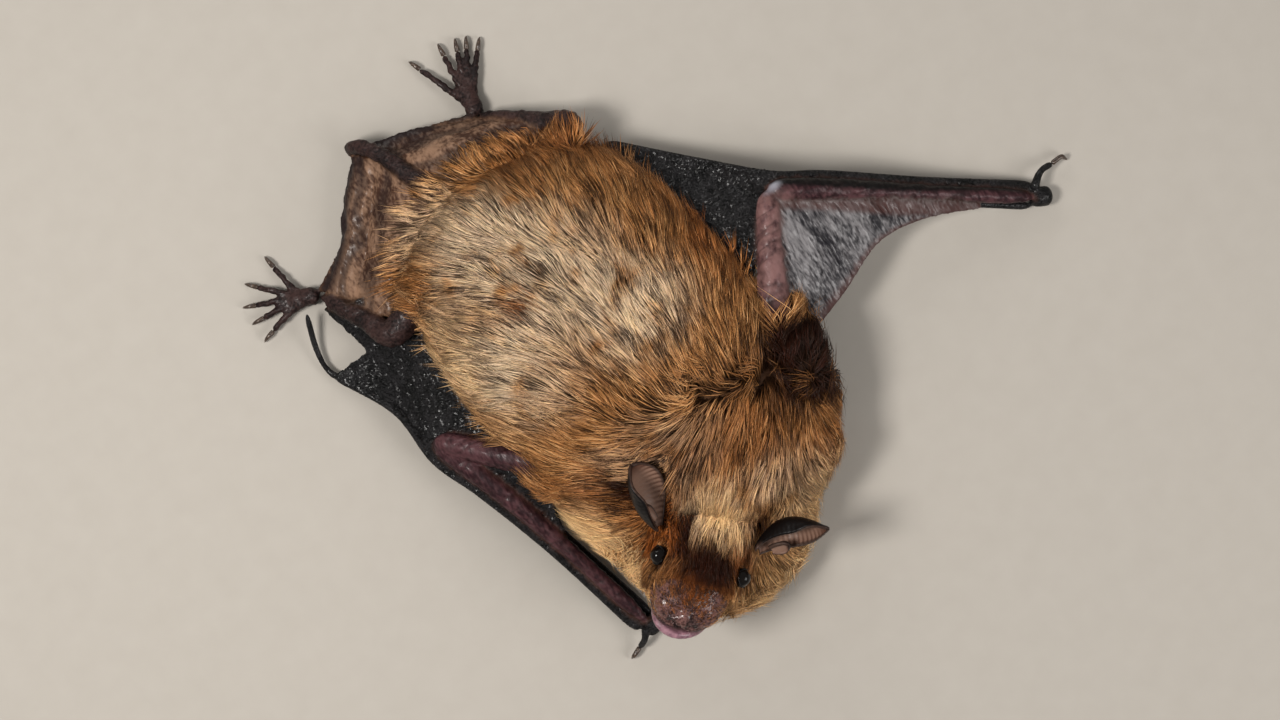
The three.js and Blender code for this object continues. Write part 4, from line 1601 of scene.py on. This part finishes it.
    def mesh(self, patch: Patch, roots: Points, middle: Points, tip: Points, normals: Points) -> Obj:
        """Builds the tufts: each a three-sided spike, bent at its middle and closed at its root.

        Args:
            patch: Which piece of the coat they are.
            roots: Where they begin, under the skin.
            middle: Where they bend.
            tip: Where they end.
            normals: The skin's outward directions at their middles.

        Returns:
            The piece, in millimetres.
        """
        count = len(roots)
        across = unit(np.cross(unit(tip - roots), normals))
        size = patch.width * (0.7 + 0.6 * self.random.random(count))
        size = size * np.minimum(1, 0.35 + self.lie.length(roots) / 6)
        points = np.empty((count, len(TUFT_UP), 3))
        for k, turn in enumerate(np.radians([90, 210, 330])):
            off = across * (0.5 * math.cos(turn)) + normals * (0.32 * math.sin(turn))
            points[:, k] = roots + off * (size * 0.75)[:, None]
            points[:, 3 + k] = middle + off * size[:, None]
        points[:, 6] = tip
        points[..., 2] = np.maximum(points[..., 2], self.floor)
        loops = np.array([i for face in TUFT_FACES for i in face])
        sizes = np.array([len(face) for face in TUFT_FACES])
        mesh = bpy.data.meshes.new(patch.name)
        mesh.vertices.add(count * len(TUFT_UP))
        mesh.vertices.foreach_set("co", points.astype(np.float32).ravel())
        mesh.loops.add(count * len(loops))
        loops = loops[None] + len(TUFT_UP) * np.arange(count)[:, None]
        mesh.loops.foreach_set("vertex_index", loops.ravel().astype(np.int32))
        mesh.polygons.add(count * len(sizes))
        starts = np.concatenate([[0], np.cumsum(np.tile(sizes, count))[:-1]])
        mesh.polygons.foreach_set("loop_start", starts.astype(np.int32))
        mesh.update(calc_edges=True)
        obj = bpy.data.objects.new(patch.name, mesh)
        bpy.context.collection.objects.link(obj)
        return obj

    def unwrap(self, obj: Obj, roots: Points) -> None:
        """Lays each tuft as a small patch at its root's place on the skin, unrolled round the body.

        Args:
            obj: The piece of the coat.
            roots: Where its tufts begin.
        """
        rolled = np.stack([roots[:, 1], np.arctan2(roots[:, 0] + 2, roots[:, 2] - 10) * 14], -1)
        low, span = rolled.min(0), np.ptp(rolled, axis=0)
        corner = 0.01 + (rolled - low) / span * 0.975
        around = (0, 1, 2, 0, 1, 2, 1.5)
        net = []
        for face in TUFT_FACES:
            wraps = 5 in face and 3 in face
            net += [((3 if wraps and around[i] == 0 else around[i]) / 3, TUFT_UP[i]) for i in face]
        layout = corner[:, None] + np.array(net)[None] * self.bake_patch
        layer = obj.data.uv_layers.new(name="OFBake")
        layer.uv.foreach_set("vector", layout.astype(np.float32).ravel())


# ---------------------------------------------------------------- shader maths


class Value:
    """A socket in a material, on which Python's operators add the nodes that work them out."""

    def __init__(self, tree: "Tree", socket: bpy.types.NodeSocket) -> None:
        """Wraps an output socket of that tree."""
        self.tree = tree
        self.socket = socket

    def maths(self, operation: str, *values: "Value | float") -> "Value":
        """One Math node on these values."""
        return self.tree.node("ShaderNodeMath", {"operation": operation}, dict(enumerate(values)))

    def sine(self) -> "Value":
        """Sine."""
        return self.maths("SINE", self)

    def __add__(self, other: "Value | float") -> "Value":
        """Sum."""
        return self.maths("ADD", self, other)

    def __sub__(self, other: "Value | float") -> "Value":
        """Difference."""
        return self.maths("SUBTRACT", self, other)

    def __rsub__(self, other: float) -> "Value":
        """Difference from a number."""
        return self.maths("SUBTRACT", other, self)

    def __mul__(self, other: "Value | float") -> "Value":
        """Product."""
        return self.maths("MULTIPLY", self, other)

    __radd__ = __add__
    __rmul__ = __mul__

    def rise(self, low: float, high: float) -> "Value":
        """A smooth rise from 0 at low to 1 at high."""
        inputs = {"Value": self, "From Min": low, "From Max": high}
        return self.tree.node("ShaderNodeMapRange", {"interpolation_type": "SMOOTHSTEP"}, inputs)


class Tree:
    """The nodes of one material."""

    def __init__(self, name: str) -> None:
        """Makes an empty material of that name."""
        self.material = bpy.data.materials.new(name)
        self.material.use_nodes = True
        self.nodes = self.material.node_tree.nodes
        self.links = self.material.node_tree.links
        self.nodes.clear()

    def node(
        self,
        kind: str,
        settings: dict[str, object] | None = None,
        inputs: dict[str | int, object] | None = None,
        output: str | int = 0,
    ) -> Value:
        """Adds a node.

        Args:
            kind: The node's type.
            settings: Its own settings, set first.
            inputs: A value or a link for each of its sockets that needs one.
            output: Which of its outputs is wanted.

        Returns:
            That output.
        """
        made = self.nodes.new(kind)
        for key, value in (settings or {}).items():
            setattr(made, key, value)
        for key, value in (inputs or {}).items():
            if isinstance(value, Value):
                self.links.new(value.socket, made.inputs[key])
            elif isinstance(value, tuple) and len(value) == 3 and made.inputs[key].type == "RGBA":
                made.inputs[key].default_value = (*value, 1)
            else:
                made.inputs[key].default_value = value
        return Value(self, made.outputs[output] if made.outputs else None)

    def blend(self, share: Value | float, a: Value | Colour, b: Value | Colour, way: str = "MIX") -> Value:
        """Colour a turned into colour b by a share, or combined with it another way."""
        settings = {"data_type": "RGBA", "blend_type": way, "clamp_factor": True}
        return self.node("ShaderNodeMix", settings, {0: share, 6: a, 7: b}, 2)

    def attribute(self, name: str, output: str = "Fac") -> Value:
        """An attribute of the piece."""
        return self.node("ShaderNodeAttribute", {"attribute_name": name}, output=output)

    def place(self) -> Value:
        """The place on the piece."""
        return self.node("ShaderNodeTexCoord", output="Object")

    def noise(self, size: float, detail: float = 3, at: Value | None = None) -> Value:
        """Soft noise whose lumps are about that size, in the units of `at`, or metres on the piece."""
        inputs = {"Vector": at or self.place(), "Scale": 1 / size, "Detail": detail}
        return self.node("ShaderNodeTexNoise", None, inputs)

    def squeezed(self, at: Value, scale: tuple[float, float, float]) -> Value:
        """Places scaled along each axis, so that a pattern on them is drawn out."""
        return self.node("ShaderNodeMapping", None, {"Vector": at, "Scale": scale})

    def bump(self, height: Value, depth: float) -> Value:
        """A surface roughened by height, depth metres at most."""
        return self.node("ShaderNodeBump", None, {"Height": height, "Distance": depth, "Strength": 1.0})

    def surface(self, **inputs: object) -> bpy.types.Material:
        """Ends the material in one shader.

        Args:
            inputs: Values or links for the shader's sockets, with _ for a space in their names.

        Returns:
            The material.
        """
        named = {key.replace("_", " "): value for key, value in inputs.items()}
        shader = self.node("ShaderNodeBsdfPrincipled", None, named)
        self.node("ShaderNodeOutputMaterial", None, {"Surface": shader})
        return self.material


# ---------------------------------------------------------------- finishes


@dataclass(frozen=True)
class FurFinish:
    """The colours of the coat, from the hair's dark root to its tip, with painted highlights on single
    strands and painted shade between them.
    """

    root: Colour = (0.022, 0.009, 0.004)
    tawny: Colour = (0.46, 0.208, 0.072)
    straw: Colour = (0.92, 0.68, 0.47)
    rust: Colour = (0.28, 0.075, 0.011)
    # The dark tint, whose marks also paint a shadow beside the right ear and shade on the neck.
    dark: Colour = (0.02, 0.005, 0.002)
    # Cream is also the colour of the brightest painted highlights on strands.
    cream: Colour = (0.95, 0.6, 0.3)
    # The colour of the painted highlights on shining strands.
    glint: Colour = (1.0, 0.86, 0.68)

    def marks(self, tree: Tree) -> list[Value]:
        """The coat's markings: pale, rust, dark and cream.

        Args:
            tree: The material's nodes.

        Returns:
            One share for each of the four.
        """
        marks = tree.attribute("markings", "Color")
        split = [tree.node("ShaderNodeSeparateColor", None, {0: marks}, k) for k in range(3)]
        return [*split, tree.attribute("markings", "Alpha")]

    def tip(self, tree: Tree) -> Value:
        """The colour of the hairs' tips, from the coat's markings.

        Args:
            tree: The material's nodes.

        Returns:
            The colour.
        """
        pale, rust, dark, cream = self.marks(tree)
        worn = tree.noise(0.005, 3)
        colour = tree.blend(pale * worn.rise(0.25, 0.5), self.tawny, self.straw)
        colour = tree.blend(rust, colour, self.rust)
        colour = tree.blend(cream, colour, self.cream)
        return tree.blend(dark, colour, self.dark)

    def build(self) -> bpy.types.Material:
        """The material of the tufts."""
        tree = Tree("coat_finish")
        along = tree.attribute("along")
        shade = tree.attribute("shade")
        _, rust, dark, cream = self.marks(tree)
        tip = self.tip(tree)
        # Tufts with a high shade value get painted highlights, first in the glint's colour and then in cream.
        # Tufts with a low one are painted in the root's dark, as the shade in the gaps between locks.
        painted_highlight = tree.blend(1.0, tip, self.glint, "SOFT_LIGHT")
        lit = tree.blend(shade.rise(0.0, 1.8) * 0.8, tip, painted_highlight)
        lit = tree.blend(shade.rise(0.8, 2.4) * (1 - dark) * (0.5 - rust * 0.35), lit, self.cream)
        lit = tree.blend(shade.rise(0.2, -1.5) * (0.92 - cream * 0.4), lit, self.root)
        colour = tree.blend(along.rise(0.02, 0.6), self.root, lit)
        return tree.surface(Base_Color=colour, Roughness=0.42, Specular_IOR_Level=0.18)


@dataclass(frozen=True)
class BareFinish:
    """One kind of bare skin: its two colours, its roughness, its grain's size and depth, its wet gloss,
    and how far the grain is drawn out along each axis.
    """

    colour: Colour
    other: Colour
    rough: float
    size: float
    depth: float
    wet: float = 0.15
    drawn: tuple[float, float, float] = (1, 1, 1)


BARE = {
    Hide.MUZZLE: BareFinish((0.013, 0.005, 0.005), (0.16, 0.072, 0.062), 0.5, 0.0003, 0.00034, 0.9),
    Hide.LIP: BareFinish((0.32, 0.165, 0.2), (0.13, 0.058, 0.08), 0.4, 0.0006, 0.00014, 1),
    Hide.EAR: BareFinish((0.022, 0.014, 0.012), (0.05, 0.03, 0.025), 0.4, 0.0006, 0.00006, 0.06),
    Hide.WING: BareFinish((0.001, 0.001, 0.0011), (0.013, 0.012, 0.013), 0.5, 0.0003, 0.0004, 0.32),
    Hide.ARM: BareFinish((0.018, 0.006, 0.008), (0.075, 0.03, 0.034), 0.5, 0.0005, 0.00012, 0.2, (1, 0.4, 1)),
    Hide.VEIL: BareFinish(
        (0.016, 0.015, 0.018), (0.19, 0.18, 0.185), 0.5, 0.0004, 0.00016, 0.55, (1, 0.25, 0.6)
    ),
    Hide.LEG: BareFinish((0.006, 0.003, 0.003), (0.036, 0.018, 0.016), 0.5, 0.0004, 0.00016, 0.15),
    Hide.TAIL: BareFinish(
        (0.045, 0.019, 0.011), (0.24, 0.14, 0.088), 0.6, 0.0005, 0.00012, 0.24, (1, 0.5, 1)
    ),
}


@dataclass(frozen=True)
class SkinFinish:
    """The skin's finish: each kind of bare skin where it shows, and the coat's own colours under the coat."""

    fur: FurFinish
    ear_back: Colour = (0.0035, 0.0025, 0.0025)
    ear_inner: Colour = (0.2, 0.118, 0.085)
    # The dark of the painted shade between the ribs inside the ear, which also darkens the inside towards its
    # tip.
    ear_deep: Colour = (0.07, 0.03, 0.02)
    ear_rim: Colour = (0.03, 0.018, 0.014)
    # The dark of the painted shade in the nostrils, the mouth's gap and the folds and creases, and of the
    # tail skin's darker hem.
    margin: Colour = (0.012, 0.006, 0.006)
    pink: Colour = (0.07, 0.032, 0.028)
    flush: Colour = (0.26, 0.14, 0.13)
    # The colour of the painted highlight on the left elbow.
    scuff: Colour = (0.33, 0.33, 0.38)

    def ear(self, tree: Tree) -> Value:
        """The ear's colours: near black outside, warm and ribbed inside with painted shade between the ribs,
        darker towards the tip, and a paler rim.

        Args:
            tree: The material's nodes.

        Returns:
            The colour.
        """
        inner, rim = tree.attribute("inner"), tree.attribute("rim")
        across, up = tree.attribute("across"), tree.attribute("up")
        centre = 1 - across.rise(0.0, 0.5) * (1 - across).rise(0.0, 0.5)
        # Dark stripes between the ribs, strongest near the rims, are painted shade; the inside also darkens
        # towards the tip.
        ribs = (up * 94).sine()
        shade = tree.blend(ribs.rise(-1, 1) * centre * 0.75, self.ear_inner, self.ear_deep)
        shade = tree.blend(up.rise(0.75, 1.0), shade, self.ear_deep)
        colour = tree.blend(inner, self.ear_back, shade)
        return tree.blend(rim * inner, colour, self.ear_rim)

    def build(self) -> bpy.types.Material:
        """The material of the skin."""
        tree = Tree("skin_finish")
        under = tree.blend(0.12, self.fur.root, self.fur.tip(tree))
        colour, rough, height, wet = under, 0.6, 0.0, 0.0
        for hide, bare in BARE.items():
            mask = tree.attribute(hide.name.lower())
            where = tree.squeezed(tree.place(), bare.drawn)
            grain = tree.noise(bare.size, 4, where)
            patches = tree.noise(bare.size * 7, 3, where)
            shown = tree.blend((grain + patches - 0.5).rise(0.25, 0.75), bare.colour, bare.other)
            shown = self.ear(tree) if hide is Hide.EAR else shown
            colour = tree.blend(mask, colour, shown)
            rough = mask * bare.rough + (1 - mask) * rough
            gloss = bare.wet if hide is Hide.LIP else grain.rise(0.4, 0.62) * bare.wet
            wet = mask * gloss + (1 - mask) * wet
            height = mask * (grain * (bare.depth / MM)) + (1 - mask) * height
        hem = tree.attribute("hem")
        # Painted shade in the nostrils and the mouth's gap.
        colour = tree.blend(tree.attribute("pit"), colour, self.margin)
        flushed = tree.attribute("flushed") * tree.noise(0.0015, 3).rise(0.2, 0.6)
        colour = tree.blend(flushed * 0.6, colour, self.flush)
        colour = tree.blend(tree.attribute("sooty"), colour, self.ear_back)
        # Painted shade in the folds of the tail skin and the creases of the arms.
        colour = tree.blend(tree.attribute("fold") * 0.6, colour, self.margin)
        # Paints the highlight on the left elbow.
        colour = tree.blend(tree.attribute("worn") * 0.8, colour, self.scuff)
        # The tail skin darker along its hem.
        colour = tree.blend(hem * tree.attribute("tail"), colour, self.margin)
        colour = tree.blend(hem * tree.attribute("veil") * 0.8, colour, self.pink)
        fur = tree.attribute("fur")
        colour = tree.blend(fur.rise(0.1, 0.9) * 0.9, colour, under)
        return tree.surface(
            Base_Color=colour,
            Roughness=rough,
            Specular_IOR_Level=0.14,
            Coat_Weight=wet,
            Coat_Roughness=0.24,
            Normal=tree.bump(height, MM),
        )


@dataclass(frozen=True)
class EyeFinish:
    """A wet black eye."""

    colour: Colour = (0.002, 0.0015, 0.0015)

    def build(self) -> bpy.types.Material:
        """The material of the eyes."""
        tree = Tree("eye_finish")
        depth = tree.noise(0.0006, 2)
        colour = tree.blend(depth, self.colour, (0.006, 0.004, 0.003))
        return tree.surface(Base_Color=colour, Roughness=0.05, Specular_IOR_Level=0.22)


@dataclass(frozen=True)
class ClawFinish:
    """Dark horn, with a little clearer streaks."""

    colour: Colour = (0.03, 0.018, 0.013)
    pale: Colour = (0.12, 0.08, 0.055)

    def build(self) -> bpy.types.Material:
        """The material of the claws."""
        tree = Tree("claw_finish")
        streak = tree.noise(0.0003, 3)
        colour = tree.blend(streak.rise(0.4, 0.8), self.colour, self.pale)
        return tree.surface(Base_Color=colour, Roughness=0.28, Normal=tree.bump(streak, 0.00004))


# ---------------------------------------------------------------- this bat's limbs


ARMS = {
    Side.LEFT: Arm(
        Side.LEFT, (17, -12, 14),
        [(30, 11.3, 15), (37.4, 7, 13.4), (51.4, -2.2, 8), (65.5, -11.6, 3.2)],
        [(65.2, -11.4, 2.4), (68.4, -12.9, 1.8)],
        [(66.2, -10.6, 3.2), (68.6, -8.8, 3), (71, -8.7, 1.7)],
        [(71, -8.7, 1.7), (72.9, -8.6, 1.6), (73.6, -9.5, 0.5)],
        {3: [(24.2, 20.8, 9.4), (13.8, 31.2, 6.2)], 4: [(27, 15.4, 9.6)], 5: [(26.4, 12, 10.4)]},
        (9, 29, 7.4),
    ),
    Side.RIGHT: Arm(
        Side.RIGHT, (-14, -12, 13),
        [(-33.6, 6.6, 8), (-29.6, -3.6, 7.8), (-25.4, -18, 5.6), (-21, -35, 3.2)],
        [(-21.1, -34.6, 2.6), (-20.2, -37.4, 1.8)],
        [(-21.6, -35.6, 3.6), (-22.8, -37.2, 3), (-24.2, -38, 1.4)],
        [(-24.2, -38, 1.4), (-25.6, -38.6, 1.3), (-26.3, -38.9, 0.45)],
        {3: [(-36.4, 13.4, 3.8), (-41.8, 23.6, 1.6)], 4: [(-34.8, 13, 2)], 5: [(-32.6, 11, 2.2)]},
        (-33.6, 24, 3),
        [(-41.6, 23.2, 1.6), (-42.2, 25.6, 1.7), (-41.8, 28.8, 2.2), (-39.9, 34, 4.7), (-39.2, 37.6, 4.9)],
    ),
}
LEGS = {
    Side.LEFT: Leg(
        Side.LEFT, (0, 31, 11), (10.2, 36.2, 9.5), (-0.6, 45.6, 3.2),
        [(-0.7, 45.9, 2.8), (-0.6, 48.6, 2.2), (0.2, 51.8, 1.5)], (-8.4, 48.2, 3.4),
        [((-1.6, 49.4), (-4.7, 57.2)), ((-0.8, 51.4), (-0.3, 57)), ((0.2, 51.8), (1.9, 56.4)),
         ((0.9, 51.6), (3.3, 55.9)), ((1.6, 51), (4.7, 54.8))],
    ),
    Side.RIGHT: Leg(
        Side.RIGHT, (-16, 29, 11), (-30, 24, 9), (-36.6, 35.2, 3.2),
        [(-36.8, 35.6, 2.8), (-39.5, 36.6, 2.2), (-42.2, 37.2, 1.5)], (-31.2, 38.8, 2.6),
        [((-39.8, 38), (-40.7, 43.4)), ((-41, 38.2), (-44.6, 42)), ((-42, 37.9), (-46.4, 39.7)),
         ((-42.4, 37), (-46.4, 37.3)), ((-41.9, 36), (-46.3, 34.7))],
    ),
}


# ---------------------------------------------------------------- eyes and claws


@dataclass
class Eye:
    """An eyeball with the cornea's bulge, sunk in the head behind its lids."""

    head: Head
    side: Side
    bulge: float = 0.07

    def front(self) -> Points:
        """Points on the part that shows, which the coat keeps clear of."""
        centre, (ahead, up, out) = self.head.eye_frame(self.side)
        angles = np.linspace(0, 2 * math.pi, 12, endpoint=False)[:, None]
        turned = ahead * np.cos(angles) * 1.2 + up * np.sin(angles)
        circles = ((0, 1.3), (0.6, 1.2), (1.1, 0.9), (1.1, 1.6))
        return np.vstack([centre + out * height + turned * wide for wide, height in circles])

    def build(self) -> Obj:
        """The eye, in millimetres."""
        centre, (ahead, _, out) = self.head.eye_frame(self.side)
        obj = ball_mesh(f"eyeball_{self.side.word}", 48, 32)
        ball = corners(obj)
        swell = 1 + self.bulge * step(0.7, 1, ball[:, 2])
        axes = np.stack([ahead, np.cross(out, ahead), out])
        move_corners(obj, centre + (ball * swell[:, None] * self.head.eye_radius) @ axes)
        return obj


CLAW_RADII = (0.42, 0.36, 0.26, 0.13)


def claw_lines() -> dict[str, list[Points]]:
    """The line of each claw, from the toe or thumb it grows from to its point, by the solid's name."""
    lines = {}
    for side, leg in LEGS.items():
        for number, toe in enumerate(leg.toes, 1):
            root, tip = (np.array([*p, 0.0]) for p in toe)
            away = unit(tip - root)
            lines[f"{side.word}_toe_claw_{number}"] = [
                tip + away * ahead + (0, 0, height)
                for ahead, height in ((-0.15, 1.02), (0.75, 1.32), (1.5, 1.1), (2.05, 0.3))
            ]
    for side, arm in ARMS.items():
        a, b, c = (np.array(p, float) for p in arm.claw)
        lines[f"{side.word}_thumb_claw"] = [a, b + (0, 0, 0.15), between(b, c, 0.55) + (0, 0, 0.1), c]
    return lines


# ---------------------------------------------------------------- the studio


@dataclass
class Studio:
    """A plain pale floor, soft lights and the camera above the bat.

    The camera hangs at `height` and takes in `width`, both in millimetres. The lights face the point
    at `aim` over the floor's middle, `air` is how bright the air is, and `ground` the floor's size in metres.
    """

    to_part: ToPart
    height: float = 400
    width: float = 201.6
    turn: float = math.radians(-32.5)
    sensor: float = 36
    aim: float = 10
    air: float = 0.3
    ground: float = 3

    def build(self) -> None:
        """Makes the floor, the lights and the camera."""
        self.floor()
        self.lamp("key_light", (-160, 60, 330), 80, 1.15, (1, 0.97, 0.93))
        self.lamp("fill_light", (200, -240, 280), 220, 0.8, (1, 0.98, 0.96))
        self.lamp("rim_light", (60, 330, 200), 160, 0.3, (1, 0.98, 0.95))
        world = bpy.data.worlds.new("studio_air")
        world.use_nodes = True
        air = world.node_tree.nodes["Background"].inputs
        air["Color"].default_value = (1, 0.98, 0.96, 1)
        air["Strength"].default_value = self.air
        bpy.context.scene.world = world
        bpy.context.scene.view_settings.view_transform = "Standard"
        self.camera()

    def camera(self) -> None:
        """The camera, straight above the bat's own origin and turned about the upright."""
        lens = bpy.data.cameras.new("camera")
        lens.sensor_width = self.sensor
        lens.lens = self.sensor * self.height / self.width
        lens.clip_start = 0.01
        camera = bpy.data.objects.new("camera", lens)
        bpy.context.collection.objects.link(camera)
        camera.location = Vector(self.to_part(np.array([0, 0, self.height])))
        camera.rotation_euler = (0, 0, self.turn)
        bpy.context.scene.camera = camera

    def lamp(self, name: str, place: Spot, size: float, watts: float, colour: Colour) -> None:
        """A soft square light that faces the bat.

        Args:
            name: Its name.
            place: Where it hangs, in millimetres.
            size: How wide it is, in millimetres.
            watts: Its power.
            colour: Its colour.
        """
        light = bpy.data.lights.new(name, "AREA")
        light.size = size * MM
        light.energy = watts
        light.color = colour
        lamp = bpy.data.objects.new(name, light)
        bpy.context.collection.objects.link(lamp)
        lamp.location = Vector(self.to_part(np.array(place, float)))
        aim = Vector(self.to_part(np.array([0, 0, self.aim]))) - lamp.location
        lamp.rotation_euler = aim.to_track_quat("-Z", "Y").to_euler()

    def floor(self) -> None:
        """The plain pale surface that the bat rests on."""
        floor = shape("floor", bpy.ops.mesh.primitive_plane_add, size=self.ground)
        tree = Tree("pale_floor")
        grey = tree.blend(tree.noise(0.004, 2), (0.38, 0.35, 0.31), (0.41, 0.38, 0.34))
        floor.data.materials.append(tree.surface(Base_Color=grey, Roughness=0.85))


def settle(obj: Obj, to_part: ToPart) -> None:
    """Moves a finished piece from millimetres into the part's frame, and makes it ride there.

    Args:
        obj: The piece.
        to_part: What turns millimetres in the bat's own frame into metres in the part's.
    """
    move_corners(obj, to_part(corners(obj)))
    choose(obj)
    bpy.ops.object.shade_smooth()
    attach(obj, BODY)


def make_eyes(head: Head, to_part: ToPart) -> list[Points]:
    """Makes both eyes, and tells which points of each the coat keeps clear of.

    Args:
        head: The head that holds them.
        to_part: What turns millimetres in the bat's own frame into metres in the part's.

    Returns:
        The points, one set for each eye.
    """
    fronts = []
    for side in Side:
        eye = Eye(head, side)
        fronts.append(eye.front())
        piece = eye.build()
        piece.data.materials.append(EyeFinish().build())
        settle(piece, to_part)
        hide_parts(f"{side.word}_eye")
        log.info("%s", piece.name)
    return fronts


def make_coat(coat: Coat, finish: bpy.types.Material, to_part: ToPart) -> None:
    """Makes each piece of the coat.

    Args:
        coat: The fur.
        finish: Its material.
        to_part: What turns millimetres in the bat's own frame into metres in the part's.
    """
    for patch in BODY_PATCHES:
        piece = coat.grow(patch)
        piece.data.materials.append(finish)
        settle(piece, to_part)
        log.info("%s: %d tufts", patch.name, patch.tufts)


def make_claws(to_part: ToPart) -> None:
    """Makes the claw of every toe and thumb.

    Args:
        to_part: What turns millimetres in the bat's own frame into metres in the part's.
    """
    horn = ClawFinish().build()
    for name, line in claw_lines().items():
        claw = rounded(f"horn_{name}", rings(line, CLAW_RADII), Hide.LEG, 16, 24, 0.05, 0.05)
        claw.data.materials.append(horn)
        settle(claw, to_part)
        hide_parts(name)
        log.info("%s", claw.name)


def flesh_of(head: Head) -> list[Obj]:
    """All the flesh of the bat but for its ears and lids.

    Args:
        head: The head.

    Returns:
        The pieces, in millimetres.
    """
    torso = Torso()
    pieces = torso.flesh() + head.flesh() + [sheet.flesh() for sheet in WING_SHEETS]
    pieces += [torso.tail(), *[sheet.flesh() for sheet in TAIL_SHEETS]]
    for side in Side:
        pieces += ARMS[side].flesh() + LEGS[side].flesh()
    return pieces


def main() -> None:
    """Builds the bat and its studio, and reports each piece."""
    logging.basicConfig(level=logging.INFO, format="%(message)s")
    head = Head()
    eyes = [np.mean([np.array(c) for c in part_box(f"{side.word}_eye")], 0) for side in Side]
    middle = head.placed((head.eye[0], 0, head.eye[2])) * MM
    shift = np.mean(eyes, 0) - middle

    def to_part(points: Points) -> Points:
        """Millimetres in the bat's own frame as metres in the part's."""
        return points * MM + shift

    Studio(to_part).build()
    skin = Skin(head, flesh_of(head))
    skin.grow()
    skin.sculpt()
    lie, fur_finish = Lie(head), FurFinish()
    ears = [piece for ear in EARS for piece in ear.build()]
    clear = [corners(ear) for ear in ears]
    ears += [head.lid(side) for side in Side]
    clear += make_eyes(head, to_part)
    places = corners(skin.obj)
    coat = Coat(lie, skin.obj, skin.fur_at(places, skin.kinds(places)), np.vstack(clear))
    make_coat(coat, fur_finish.build(), to_part)
    skin.thin_out()
    hide_finish = SkinFinish(fur_finish).build()
    skin.dress(hide_finish, lie)
    for ear in ears:
        ear.data.materials.append(hide_finish)
    skin.obj = joined([skin.obj, *ears], "bat_skin")
    log.info("bat_skin: %d faces", len(skin.obj.data.polygons))
    make_claws(to_part)
    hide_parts(*[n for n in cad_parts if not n.endswith("_eye") and "claw" not in n])
    settle(skin.obj, to_part)


if __name__ == "__main__":
    main()
